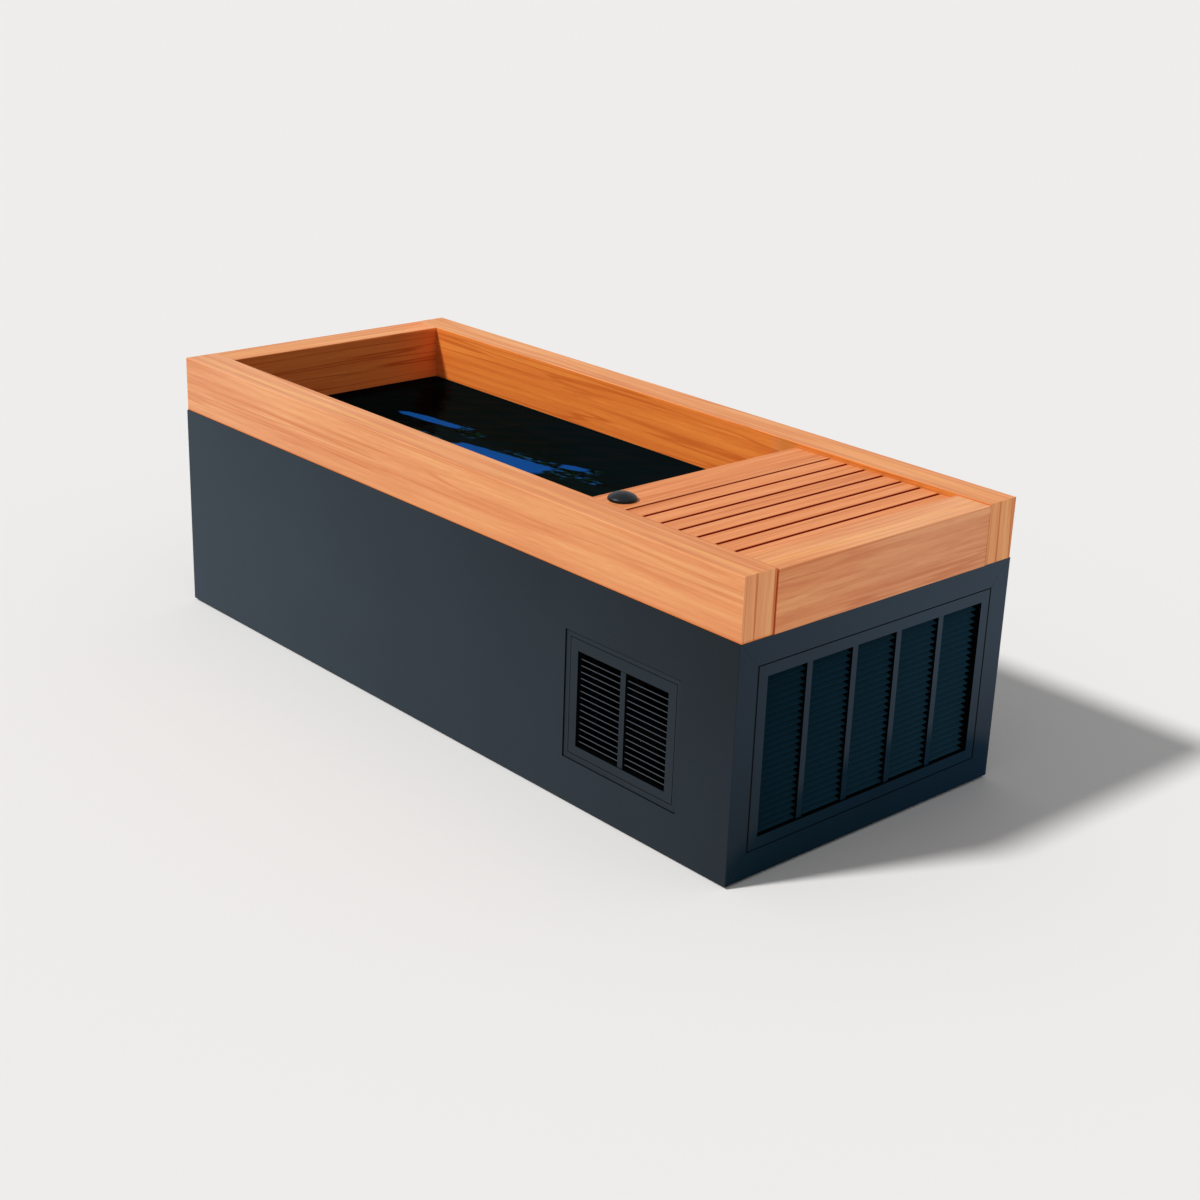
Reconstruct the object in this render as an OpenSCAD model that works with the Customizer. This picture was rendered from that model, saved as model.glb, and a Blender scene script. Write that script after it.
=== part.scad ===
// Cold plunge tub: a steel case with a cedar rim and deck, an insulated steel basin at one end
// and the chilling and filtering machine at the other.
// X runs along the case towards the machine end, Y across it towards the back, Z up.
// The origin lies on the floor under the middle of the case.

/* [Case] */
// Length of the steel case
case_l = 2041; // [1960:1:2200]
// Width of the steel case
case_w = 846; // [800:1:920]
// Height of the steel case from its lower edge to its upper edge
case_h = 529; // [500:1:580]
// Gap between the floor and the lower edge of the case
floor_gap = 6; // [4:1:12]
// Thickness of the folded steel sheets
sheet_t = 2; // [1.5:0.5:3]
// Width of the returns folded inwards along the panels' edges
return_w = 34; // [30:1:38]

/* [Frame] */
// Side of the square frame tubes
tube_w = 40; // [34:1:44]
// Wall of the frame tubes
tube_wall = 2.5; // [2:0.5:4]
// Height of the frame's underside over the lower edge of the case
frame_lift = 14; // [12:1:20]
// Radius of a levelling foot's pad
foot_r = 28; // [20:1:34]
// Height of a levelling foot's pad
foot_h = 10; // [8:1:14]
// Radius of a levelling foot's threaded stem
foot_stem_r = 6; // [5:0.5:8]
// Distance of the levelling feet's middles from the frame's long tubes
foot_from_tube = 61; // [46:1:120]
// Thickness of the floor board
floor_board_t = 12; // [9:1:18]

/* [Rim rails] */
// Thickness of the cedar rails
rail_t = 89.5; // [84:0.5:94]
// Height of the cedar rails
rail_h = 140; // [120:1:160]
// Set-back of the rails from the long faces of the case
rail_inset_y = 3; // [0:0.5:6]
// Set-back of the side rails from the end faces of the case
rail_inset_x = 0.5; // [0:0.5:4]
// Radius of the rails' long edges
rail_edge_r = 1.5; // [1:0.5:4]
// Overhang of the machine end rail past the side rails' ends
end_rail_proud = 3; // [0.5:0.5:6]
// Drop of the machine end rail's top below the side rails
end_rail_drop = 3; // [0:0.5:8]
// Shank radius of the screws that hold the rails
rail_screw_r = 4; // [3:0.5:5]
// Length of those screws inside the wood
rail_screw_bite = 60; // [40:1:90]

/* [Deck] */
// Length of the deck from the water's edge to the machine end rail
deck_l = 478; // [460:1:500]
// Drop of the deck's top below the rim
deck_drop = 12; // [8:1:20]
// Thickness of the deck boards
deck_t = 25; // [20:1:30]
// Width of the deck's first board
front_board_w = 105; // [98:1:115]
// Overhang of the first board past the basin's wall
deck_nose = 8; // [2:1:14]
// Width of a deck slat
slat_w = 48.8; // [40:0.1:60]
// Width of the slots between the slats
slot_w = 5; // [3:0.5:8]
// Fitting gap round the deck's edges
deck_gap = 1.5; // [0.5:0.5:3]
// Width of the battens under the slats
batten_w = 32; // [24:1:40]
// Thickness of the battens under the slats
batten_t = 20; // [15:1:25]
// Distance of the outer battens' middles from the rails
batten_from_rail = 95.5; // [70:0.5:130]
// Width of the ledgers that carry the slats' ends
ledger_w = 20; // [14:1:26]
// Height of the ledgers
ledger_h = 30; // [20:1:40]

/* [Basin] */
// Thickness of the basin's wall
liner_t = 2; // [1.5:0.5:3]
// Radius of the basin's upright corners
basin_r = 25; // [10:1:28]
// Thickness of the foam under the basin
floor_foam_t = 40; // [30:1:60]
// Clearance between the foam boards and what they fill in between
foam_gap = 0.5; // [0.3:0.1:1]

/* [Air button] */
// Radius of the button's dome
dome_r = 32.5; // [28:0.5:36]
// Height of the dome's top over the deck
dome_h = 18.5; // [16:0.5:24]
// Travel of the button
button_travel = 2; // [1.5:0.5:3]
// Distance of the button's middle from the front rail
button_from_rail = 63.5; // [50:0.5:110]
// Outer radius of the button's barrel
barrel_r = 19; // [17:0.5:21]
// Radius of the plunger in the barrel
plunger_r = 15; // [13:0.5:15.5]

/* [Side vent] */
// Width of the opening for the side vent
side_vent_w = 355.5; // [300:0.5:380]
// Distance of the side vent from the bulkhead
side_vent_from_bulkhead = 9.3; // [9:0.1:50]
// Distance of the side vent from the lower edge of the case
side_vent_from_base = 102.7; // [90:0.1:120]
// Distance of the side vent from the upper edge of the case
side_vent_from_top = 127.3; // [90:0.1:150]
// Depth of the vent's face behind the panel's face
side_vent_sunk = 3.5; // [3:0.5:6]
// Visible width of the trim round the side grille
side_trim_w = 13.7; // [10:0.1:20]
// Width of the side grille's border
side_border_w = 23; // [16:1:30]
// Width of the side grille's mullion
side_mullion_w = 15.5; // [10:0.5:22]
// Depth of that mullion behind the grille's face
side_mullion_recess = 3; // [2:0.5:4]
// Drop of the side louvres below the middle of their grille
side_bay_drop = 2.5; // [0:0.5:5]
// Depth of the side louvres behind the grille's face
side_blade_recess = 8; // [6:0.5:12]
// Depth of a side louvre from front to back
side_blade_d = 12; // [8:0.5:14]
// Slope of the side louvres, inner edge lower, in degrees
side_blade_tilt = 22; // [10:1:24]

/* [End vent] */
// Width of the border round the end grille
end_border_w = 58.5; // [54:0.5:64]
// Width of the end grille's own border
grille_border_w = 26.5; // [20:0.5:34]
// Width of the end grille's mullions
end_mullion_w = 16; // [10:0.5:22]
// Depth of those mullions behind the grille's face
end_mullion_recess = 6; // [3:0.5:8]
// Depth of the end louvres behind the grille's face
end_blade_recess = 11; // [10:0.5:16]
// Depth of an end louvre from front to back
end_blade_d = 18; // [12:0.5:20]
// Slope of the end louvres, outer edge lower, in degrees
end_blade_tilt = 16; // [12:1:24]
// Thickness of the louvres
blade_t = 1.5; // [1:0.25:2]
// Gap round the pull-off grilles
grille_gap = 1.5; // [0.5:0.25:1.5]

/* [Water circuit] */
// Outer radius of the water pipes
pipe_r = 16; // [13:0.5:18]
// Wall of the water pipes
pipe_wall = 3; // [2:0.5:4]
// Radius of the water pipes' bends
pipe_bend_r = 28; // [24:1:32]
// Distance of the pump's middle from the front rail
pump_from_rail = 56; // [55:1:70]
// Height of the pump's axis over the floor board
pump_axis_h = 80; // [76:1:90]
// Radius of the pump's casing
pump_r = 60; // [56:1:64]
// Radius of the pump's motor
pump_motor_r = 55; // [45:1:58]
// Length of the pump's motor
pump_motor_l = 165; // [120:1:180]
// Radius of the filter's body
filter_r = 65; // [60:1:70]
// Depth of the filter's rim below the upper edge of the case
filter_drop = 18; // [10:1:60]
// Gap between the pump and the filter
filter_gap = 10; // [6:1:30]
// Height of the filter's inlet over the floor board
filter_in_h = 230; // [200:1:250]
// Height of the filter's outlet over the floor board
filter_out_h = 130; // [110:1:150]

/* [Chiller] */
// Radius of the compressor's shell
compressor_r = 62; // [56:1:65]
// Gap between the compressor's plate and the water chiller
compressor_gap = 10; // [6:1:30]
// Radius of the water chiller's barrel
exchanger_r = 45; // [40:1:48]
// Distance of the water chiller's middle from the back rail
exchanger_from_rail = 64; // [58:1:90]
// Depth of the water's return below the frame's upper ring
return_drop = 53; // [50:1:90]
// Depth of the condenser coil's top below the frame's upper ring
coil_drop = 41; // [36:1:60]
// Extra width of the condenser coil over its height
coil_wider = 20; // [4:1:30]
// Depth of the condenser coil
coil_t = 50; // [40:1:60]
// Border of the fan's shroud above and below its ring
fan_border = 33; // [20:1:50]
// Radius of the copper lines
copper_r = 5; // [4:0.5:6]

/* [Drain niche] */
// Width of the niche in the back panel
niche_w = 130; // [120:1:140]
// Height of the niche in the back panel
niche_h = 140; // [130:1:150]
// Depth of the niche in the back panel
niche_d = 75; // [70:1:80]
// Height of the niche over the floor board
niche_lift = 13; // [10:1:20]
// Radius of the drain's hose spigot
spigot_r = 9.5; // [8:0.5:12]
// Length of the drain's hose spigot
spigot_l = 20; // [16:1:24]
// Radius of the bore for the supply cable
cable_bore_r = 5; // [4:0.5:6]

/* [Hidden] */

// Roundness of curved faces, and the overrun of every cut past the face that it opens
$fn = 48;
full_turn = 360;
cut = 1;
half = 0.5;

// Levels from the floor up
z_case = floor_gap;
z_top = floor_gap + case_h;
z_frame = floor_gap + frame_lift;
z_board = z_frame + tube_w;
z_floor = z_board + floor_board_t;
z_ring_top = z_top - sheet_t;
z_ring = z_ring_top - tube_w;
z_rim = z_top + rail_h;
z_deck = z_rim - deck_drop;
z_deck_under = z_deck - deck_t;
z_liner = z_floor + floor_foam_t;
z_basin = z_liner + liner_t;

// Places across the case
y_case = case_w / 2;
y_sheet = y_case - sheet_t;
y_post = y_sheet - tube_w;
y_tube = y_sheet - tube_w / 2;
y_rail = y_case - rail_inset_y;
y_in = y_rail - rail_t;
y_return = y_case - return_w;
flange_gap = 1;
y_flange = y_return - flange_gap;

// Places along the case
x_case = case_l / 2;
x_sheet = x_case - sheet_t;
x_rail = x_case - rail_inset_x;
x_in = x_rail - rail_t;
x_deck = x_in - deck_l;
x_basin = x_deck + deck_nose;
x_bulk = x_basin + liner_t + tube_w;
x_bay = x_bulk + sheet_t;
x_return = x_case - return_w;
x_flange = x_return - flange_gap;
x_cross_rail = x_basin + rail_t;
x_hatch = x_deck + front_board_w + slot_w;
x_hatch_end = x_in - deck_gap;

// Posts stand at the ends, at the bulkhead and midway along the basin
post_x = [-x_sheet + tube_w / 2, half * (x_bulk - x_sheet), x_bulk - tube_w / 2, x_sheet - tube_w / 2];

// The levelling feet stand inside the returns, each under a cross tube
foot_side_gap = 2;
foot_y = y_post - foot_from_tube;
foot_nut_share = 1.9;
x_foot = x_return - foot_r - foot_side_gap;
foot_x = [-x_foot, post_x[1], post_x[2], x_foot];
base_cross_x = concat(
    [for (i = [0:len(foot_x) - 2], s = [0, half]) foot_x[i] + s * (foot_x[i + 1] - foot_x[i])],
    [x_foot]);

// The screws of the rails stand in the frame tubes, clear of the posts
screw_share = 0.25;
cross_screw_share = 0.5;
rail_screw_at = concat(
    [for (i = [0:len(post_x) - 2], s = [screw_share, 1 - screw_share], side = [-1, 1])
        [post_x[i] + s * (post_x[i + 1] - post_x[i]), side * y_tube]],
    [for (i = [0, 2, 3], side = [-1, 1]) [post_x[i], side * cross_screw_share * y_in]]);
screw_fit = 0.2;
screw_head_share = 1.8;
screw_head_r = rail_screw_r * screw_head_share;
screw_head_h = rail_screw_r;

// Wood of the deck
slat_pitch = slat_w + slot_w;
slat_n = round((x_hatch_end - x_hatch + slot_w) / slat_pitch);
slat_x = [for (i = [0:slat_n - 1]) x_hatch + i * slat_pitch];
slat_end = [for (i = [0:slat_n - 1]) i < slat_n - 1 ? slat_x[i] + slat_w : x_hatch_end];
deck_edge_r = 1;
batten_y = y_in - batten_from_rail;
batten_at = [-batten_y, 0, batten_y];
batten_end_gap = 20;
deck_screw_r = 2.2;
deck_screw_bite = 14;

// Air button, standing in the middle of the first board
button_x = x_deck + front_board_w / 2;
button_y = -y_in + button_from_rail;
button_flange_t = 2;
button_flange_over = 6;
button_flange_r = barrel_r + button_flange_over;
dome_room = 1;
button_fit = 0.05;
board_bore_fit = 0.3;
barrel_l = 50;
barrel_floor = 3;
dome_lift_gap = 0.3;
cap_sides = 360;
dome_z = button_travel + dome_lift_gap;
dome_shoulder_r = 7.5;
dome_skirt = 0.7;
dome_edge = [dome_r - dome_shoulder_r, dome_z + dome_skirt];
dome_rise = dome_h - dome_edge.y;
cap_r = (pow(dome_edge.x, 2) + pow(dome_rise, 2) - pow(dome_shoulder_r, 2))
    / (2 * (dome_rise - dome_shoulder_r));
plunger_l = 20;
pin_r = 4;
spring_wire_r = 0.9;
spring_r = 9;
spring_turns = 6;
spring_steps = 16;
spring_sides = 6;
button_nut_rim = 7;
button_nut_r = barrel_r + button_nut_rim;
button_nut_h = 8;
nut_room = 3;
nut_recess_r = button_nut_r + nut_room;

// Side vent, in the front panel near the machine end
side_x0 = x_bulk + side_vent_from_bulkhead;
side_x1 = side_x0 + side_vent_w;
side_z0 = z_case + side_vent_from_base;
side_z1 = z_top - side_vent_from_top;
side_vent_h = side_z1 - side_z0;
side_face_y = -y_case + side_vent_sunk;
trim_over = 8;
trim_lip = 12;
catch_step = 2;
catch_t = 4;
catch_w = 14;
catch_reach = 13;
catch_share = 0.22;
grille_lip = trim_lip - catch_step;
side_in = side_trim_w + grille_gap;
side_bay_n = 2;
side_blade_n = 14;
side_tip_share = 0.6;
side_bay_w = (side_vent_w - 2 * (side_in + side_border_w) - (side_bay_n - 1) * side_mullion_w) / side_bay_n;
side_bay_h = side_vent_h - 2 * (side_in + side_border_w);
side_bay_x0 = side_x0 + side_in + side_border_w;
side_bay_z0 = side_z0 + side_in + side_border_w - side_bay_drop;
side_bays_w = side_bay_n * side_bay_w + (side_bay_n - 1) * side_mullion_w;
box_wall = 1.5;
weld_gap = 0.1;
side_box_d = side_blade_recess + side_blade_d + box_wall;

// End vent, in the machine end
end_y = y_case - end_border_w;
end_z0 = z_case + end_border_w;
end_z1 = z_top - end_border_w;
mitre_gap = 0.5;
end_lip = 12;
end_grille_lip = end_lip - catch_step;
end_bay_n = 5;
end_blade_n = 24;
end_tip_share = 0.04;
end_top_share = 0.4;
end_side_room = 4;
grille_y = end_y - grille_gap;
end_bays_w = 2 * (grille_y - grille_border_w);
end_bay_w = (end_bays_w - (end_bay_n - 1) * end_mullion_w) / end_bay_n;
end_bay_z0 = end_z0 + grille_gap + grille_border_w;
end_bay_h = end_z1 - end_z0 - 2 * (grille_gap + grille_border_w);
end_box_d = end_blade_recess + end_blade_d + box_wall;

// Water circuit: the pump draws from the basin, and feeds the filter and the water chiller
pipe_bore = pipe_r - pipe_wall;
stub_wall = 4;
stub_r = pipe_r + stub_wall;
stub_l = 20;
fitting_flange_over = 14;
fitting_flange_r = pipe_r + fitting_flange_over;
fitting_flange_t = 5;
fitting_nut_t = 12;
fitting_end = x_bay + fitting_nut_t;
fitting_fit = 0.5;
pump_off = 85;
pump_x = x_bay + pump_off;
pump_y = y_in - pump_from_rail;
pump_z = z_floor + pump_axis_h;
casing_t = 56;
casing_wall = 7;
casing_clear = 4;
impeller_r = pump_r - casing_wall - casing_clear;
impeller_t = 4;
vane_h = 12;
vane_n = 6;
shaft_r = 7;
shaft_fit = 0.05;
shaft_l = 70;
pump_foot_w = 100;
pump_foot_t = 6;
discharge_h = pump_r + stub_l;
filter_off = 90;
filter_at = [pump_x + filter_off, pump_r + filter_gap + filter_r - pump_y];
filter_h = z_top - z_floor - filter_drop;
filter_wall = 4;
filter_floor = 6;
filter_rim_over = 12;
filter_rim_r = filter_r + filter_rim_over;
filter_rim_h = 15;
lid_t = 12;
lid_plug = 10;
lid_fit = 0.6;
lid_bar_w = 20;
lid_bar_h = 18;
cartridge_room = 18;
cartridge_r = filter_r - cartridge_room;
cartridge_bore_r = 20;
cartridge_cap_t = 10;
cartridge_pleats = 24;
cartridge_top_gap = 0.3;
exchanger_off = 70;
exchanger_at = [pump_x + exchanger_off, y_in - exchanger_from_rail];
return_rise = 48;
return_z = z_ring - return_drop;
return_y = exchanger_at.y;
exchanger_h = return_z - return_rise - stub_l - z_floor;
drain_from_rail = 130.5;
drain_gap = 4;
drain_y = y_in - drain_from_rail;
drain_z = z_basin + fitting_flange_r + drain_gap;

// Chiller: compressor, condenser with its fan, and the copper lines
compressor_off = 150;
compressor_leg_h = 12;
compressor_leg_r = 12;
compressor_plate_t = 4;
compressor_plate_rim = 4;
compressor_plate_w = 2 * (compressor_r + compressor_plate_rim);
compressor_at = [pump_x + compressor_off,
    exchanger_at.y - exchanger_r - compressor_gap - compressor_plate_w / 2];
shoulder_r = 30;
gas_drop = 58;
gas_rise = 21;
gas_z = z_floor + exchanger_h - gas_drop;
compressor_top = gas_z - gas_rise;
compressor_h = compressor_top - compressor_plate_t - compressor_leg_h - z_floor;
coil_room = 30;
coil_side_room = 31;
coil_h = z_ring - z_floor - coil_drop;
coil_w = coil_h + coil_wider;
coil_x1 = x_sheet - end_box_d - coil_room;
coil_x0 = coil_x1 - coil_t;
coil_y = y_post - coil_side_room - coil_w / 2;
coil_y0 = coil_y - coil_w / 2;
coil_rows = 9;
coil_end_t = 3;
coil_tube_r = 4.8;
fan_z = z_floor + coil_h / 2;
shroud_t = 2;
shroud_ring_l = 30;
shroud_ring_t = 3;
fan_clear = 6;
fan_r = coil_h / 2 - fan_border - shroud_ring_t - fan_clear;
shroud_r = fan_r + fan_clear;
shroud_x = coil_x0 - shroud_t;
arm_t = 6;
arm_w = 18;
fan_motor_r = 45;
fan_motor_l = 55;
fan_cap_t = 2;
fan_hub_r = 30;
fan_hub_l = 20;
fan_hub_gap = 4;
fan_shaft_r = 6;
fan_shaft_l = 40;
fan_blade_n = 5;
fan_blade_chord = 62;
fan_blade_tilt = 24;
fan_blade_t = 2;
copper_bend_r = 15;
copper_out = 35;
copper_low = 30;
line_offset = 25;

// Control box against the back panel, and the niche for drain and cable
control_w = 200;
control_h = 200;
control_d = 90;
control_off = 60;
control_x = pump_x + control_off;
control_drop = 41;
control_z = z_ring - control_drop - control_h;
niche_wall = 1.5;
niche_off = 5;
niche_x = x_bay + niche_off + niche_w / 2;
niche_z = z_floor + niche_lift + niche_h / 2;
niche_y = y_sheet - niche_d;
valve_off = 65;
valve_x = x_bay + valve_off;
valve_r = 18;
valve_l = niche_d - spigot_l - sheet_t;
valve_bore = 8;
ball_r = 12;
ball_fit = 0.3;
stem_r = 5;
stem_fit = 0.05;
boss_r = 9;
boss_h = 8;
lever_l = 42;
lever_w = 12;
lever_t = 3;
lever_gap = 0.5;
gland_off = 45;
gland_r = 12;
gland_l = 18;

// A block between two corners
module block(lo, hi) { translate(lo) cube(hi - lo); }

// A flat outline of a rectangle with round corners, centred
module round_rect(l, w, r) {
    square([l - 2 * r, w], center = true);
    square([l, w - 2 * r], center = true);
    for (sx = [-1, 1], sy = [-1, 1]) translate([sx * (l / 2 - r), sy * (w / 2 - r)]) circle(r);
}

// Timber along X or along Y, between two corners, with round long edges
module timber_x(lo, hi, r) {
    size = hi - lo;
    translate([lo.x, lo.y + size.y / 2, lo.z + size.z / 2]) rotate([90, 0, 90])
        linear_extrude(size.x) round_rect(size.y, size.z, r);
}
module timber_y(lo, hi, r) {
    size = hi - lo;
    translate([lo.x + size.x / 2, hi.y, lo.z + size.z / 2]) rotate([90, 0, 0])
        linear_extrude(size.y) round_rect(size.x, size.z, r);
}

// A round bar or bore from one place along an axis
module rod(at, axis, r, l) {
    turn = axis == "x" ? [0, 90, 0] : axis == "y" ? [-90, 0, 0] : [0, 0, 0];
    translate(at) rotate(turn) cylinder(h = l, r = r);
}

// A square tube along X, Y or Z, from the middle of its first end
module tube(at, axis, l) {
    turn = axis == "x" ? [90, 0, 90] : axis == "y" ? [-90, 0, 0] : [0, 0, 0];
    translate(at) rotate(turn) linear_extrude(l) difference() {
        square(tube_w, center = true);
        square(tube_w - 2 * tube_wall, center = true);
    }
}

// The bores that the rail screws pass through, from under the frame to their tips
module rail_screw_bores() {
    for (p = rail_screw_at)
        rod([p.x, p.y, z_ring - cut], "z", rail_screw_r + screw_fit,
            tube_w + sheet_t + cut + rail_screw_bite + screw_fit);
}

// A can with round shoulders at both ends
module round_can(r, h, c) {
    rotate_extrude() {
        square([r - c, h]);
        translate([0, c]) square([r, h - 2 * c]);
        intersection() {
            union() {
                translate([r - c, c]) circle(c);
                translate([r - c, h - c]) circle(c);
            }
            square([r, h]);
        }
    }
}

// A hollow or solid line through square corners: straight lengths joined by quarter bends
function unit(v) = v / norm(v);
module line_profile(r, bore) {
    difference() {
        circle(r);
        if (bore > 0) circle(bore);
    }
}
module pipe_line(points, r, bore, bend) {
    n = len(points);
    for (i = [0:n - 2]) {
        d = unit(points[i + 1] - points[i]);
        from = points[i] + (i > 0 ? bend : 0) * d;
        to = points[i + 1] - (i < n - 2 ? bend : 0) * d;
        translate(from) rotate([0, acos(d.z), atan2(d.y, d.x)])
            linear_extrude(norm(to - from)) line_profile(r, bore);
    }
    for (i = [1:1:n - 2]) {
        u = unit(points[i] - points[i - 1]);
        v = unit(points[i + 1] - points[i]);
        w = cross(u, v);
        c = points[i] + bend * (v - u);
        multmatrix([[-v.x, u.x, w.x, c.x], [-v.y, u.y, w.y, c.y], [-v.z, u.z, w.z, c.z], [0, 0, 0, 1]])
            rotate_extrude(angle = 90) translate([bend, 0]) line_profile(r, bore);
    }
}

// Frame: square tubes along the floor, posts, and a ring of tubes under the rim
module foot_bores() {
    for (x = foot_x, side = [-1, 1])
        rod([x, side * foot_y, z_frame - cut], "z", foot_stem_r + screw_fit, z_floor - z_frame + 2 * cut);
}
module base_long_tubes() {
    color("dimgray") for (side = [-1, 1])
        tube([-x_sheet, side * y_tube, z_frame + tube_w / 2], "x", 2 * x_sheet);
}
module base_cross_tubes() {
    color("dimgray") difference() {
        for (x = base_cross_x) tube([x, -y_post, z_frame + tube_w / 2], "y", 2 * y_post);
        foot_bores();
    }
}
module frame_posts() {
    color("dimgray") for (x = post_x, side = [-1, 1])
        tube([x, side * y_tube, z_board], "z", z_ring - z_board);
}
module top_long_tubes() {
    color("dimgray") difference() {
        for (side = [-1, 1]) tube([-x_sheet, side * y_tube, z_ring + tube_w / 2], "x", 2 * x_sheet);
        rail_screw_bores();
    }
}
module top_cross_tubes() {
    color("dimgray") difference() {
        for (i = [0, 2, 3]) tube([post_x[i], -y_post, z_ring + tube_w / 2], "y", 2 * y_post);
        rail_screw_bores();
    }
}

// Levelling feet: a pad with its stem, and the lock nut under the frame
module levelling_feet() {
    stem_l = foot_h + (z_frame - foot_h) + tube_w - foot_h;
    color("black") for (x = foot_x, side = [-1, 1]) translate([x, side * foot_y, 0]) {
        cylinder(h = foot_h, r = foot_r);
        cylinder(h = stem_l, r = foot_stem_r);
        translate([0, 0, foot_h]) cylinder(h = z_frame - foot_h, r = foot_stem_r * foot_nut_share, $fn = 6);
    }
}
module floor_board() {
    inner = [x_sheet - tube_w - foam_gap, y_post - foam_gap];
    color("burlywood") difference() {
        block([-inner.x, -inner.y, z_board], [inner.x, inner.y, z_floor]);
        foot_bores();
    }
}

// Case panels with their returns along the upper and lower edges
module long_panel(side) {
    outer = side * y_case;
    inner = side * y_sheet;
    fold = side * y_return;
    block([-x_case, min(outer, inner), z_case], [x_case, max(outer, inner), z_top]);
    for (z = [z_case, z_top - sheet_t])
        block([-x_sheet, min(outer, fold), z], [x_sheet, max(outer, fold), z + sheet_t]);
}
module front_panel() {
    color("slategray") difference() {
        long_panel(-1);
        block([side_x0, -y_case - cut, side_z0], [side_x1, -y_sheet + cut, side_z1]);
        rail_screw_bores();
    }
}
module back_panel() {
    color("slategray") difference() {
        long_panel(1);
        translate([niche_x, 0, niche_z])
            block([-niche_w / 2, y_sheet - cut, -niche_h / 2], [niche_w / 2, y_case + cut, niche_h / 2]);
        rail_screw_bores();
    }
}
module far_end_panel() {
    color("slategray") difference() {
        union() {
            block([-x_case, -y_sheet, z_case], [-x_sheet, y_sheet, z_top]);
            for (z = [z_case, z_top - sheet_t])
                block([-x_case, -y_flange, z], [-x_return, y_flange, z + sheet_t]);
        }
        rail_screw_bores();
    }
}

// One side of the mitred border of the machine end, drawn in the end's plane
module border_sheet(points) {
    translate([x_sheet, 0, 0]) rotate([90, 0, 90]) linear_extrude(sheet_t) polygon(points);
}
module end_frame_level(upper) {
    outer = upper ? z_top : z_case;
    inner = upper ? end_z1 : end_z0;
    lip = upper ? inner : inner - sheet_t;
    fold = upper ? outer - sheet_t : outer;
    border_sheet([[-y_sheet + mitre_gap, outer], [y_sheet - mitre_gap, outer],
        [end_y - mitre_gap, inner], [-end_y + mitre_gap, inner]]);
    block([x_sheet - end_lip, -end_y + mitre_gap, lip], [x_sheet, end_y - mitre_gap, lip + sheet_t]);
    block([x_return, -y_flange, fold], [x_sheet, y_flange, fold + sheet_t]);
}
module end_frame_top() {
    color("slategray") difference() {
        end_frame_level(true);
        rail_screw_bores();
    }
}
module end_frame_bottom() { color("slategray") end_frame_level(false); }
module end_frame_upright(side) {
    lip = side * end_y;
    border_sheet([[side * y_sheet, z_case], [side * y_sheet, z_top],
        [side * end_y, end_z1], [side * end_y, end_z0]]);
    block([x_sheet - end_lip, min(lip, lip + side * sheet_t), end_z0],
        [x_sheet, max(lip, lip + side * sheet_t), end_z1]);
}
module end_frame_front() { color("slategray") end_frame_upright(-1); }
module end_frame_back() { color("slategray") end_frame_upright(1); }

// Side vent: a trim seated behind the panel, and a pull-off grille with boxes of louvres
module side_ring(y0, y1, outset, inset) {
    difference() {
        block([side_x0 - outset, y0, side_z0 - outset], [side_x1 + outset, y1, side_z1 + outset]);
        block([side_x0 + inset, y0 - cut, side_z0 + inset], [side_x1 - inset, y1 + cut, side_z1 - inset]);
    }
}
module side_vent_trim() {
    color("slategray") {
        side_ring(-y_sheet, side_face_y + sheet_t, trim_over, 0);
        side_ring(side_face_y, side_face_y + sheet_t, 0, side_trim_w);
        side_ring(side_face_y, side_face_y + trim_lip, sheet_t - side_trim_w, side_trim_w);
    }
}
// A place along the side bays, from the left end of the first one
module side_bays(x = 0) { translate([side_bay_x0 + x, side_face_y, side_bay_z0]) children(); }
module side_grille_frame() {
    color("slategray") {
        difference() {
            block([side_x0 + side_in, side_face_y, side_z0 + side_in],
                [side_x1 - side_in, side_face_y + sheet_t, side_z1 - side_in]);
            side_bays() block([0, -cut, 0], [side_bays_w, sheet_t + cut, side_bay_h]);
        }
        side_ring(side_face_y, side_face_y + grille_lip, -side_in, side_in + sheet_t);
        for (i = [1:side_bay_n - 1]) side_bays(i * (side_bay_w + side_mullion_w) - side_mullion_w)
            block([0, side_mullion_recess, 0], [side_mullion_w, side_mullion_recess + sheet_t, side_bay_h]);
    }
}
// A box of four sheets round a vent, open to the front and to the back, and the sheets between its bays
module vent_box(front, size, between, between_front) {
    for (z = [-box_wall, size.z]) block([-box_wall, front, z], [size.x + box_wall, size.y, z + box_wall]);
    for (x = [-box_wall, size.x]) block([x, front, weld_gap], [x + box_wall, size.y, size.z - weld_gap]);
    for (x = between) block([x, between_front, weld_gap], [x + box_wall, size.y, size.z - weld_gap]);
}
module side_vent_boxes() {
    walls = [for (i = [1:side_bay_n - 1], x = [-side_mullion_w, -box_wall])
        i * (side_bay_w + side_mullion_w) + x];
    color("black") side_bays() vent_box(sheet_t, [side_bays_w, side_box_d, side_bay_h],
        walls, side_mullion_recess + sheet_t);
}
module side_louvres() {
    pitch = side_bay_h / (side_blade_n + 1);
    color("slategray") for (i = [0:side_bay_n - 1], k = [0:side_blade_n - 1])
        side_bays(i * (side_bay_w + side_mullion_w))
            translate([0, side_blade_recess, (k + side_tip_share) * pitch])
                rotate([-side_blade_tilt, 0, 0]) cube([side_bay_w, side_blade_d, blade_t]);
}

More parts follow.
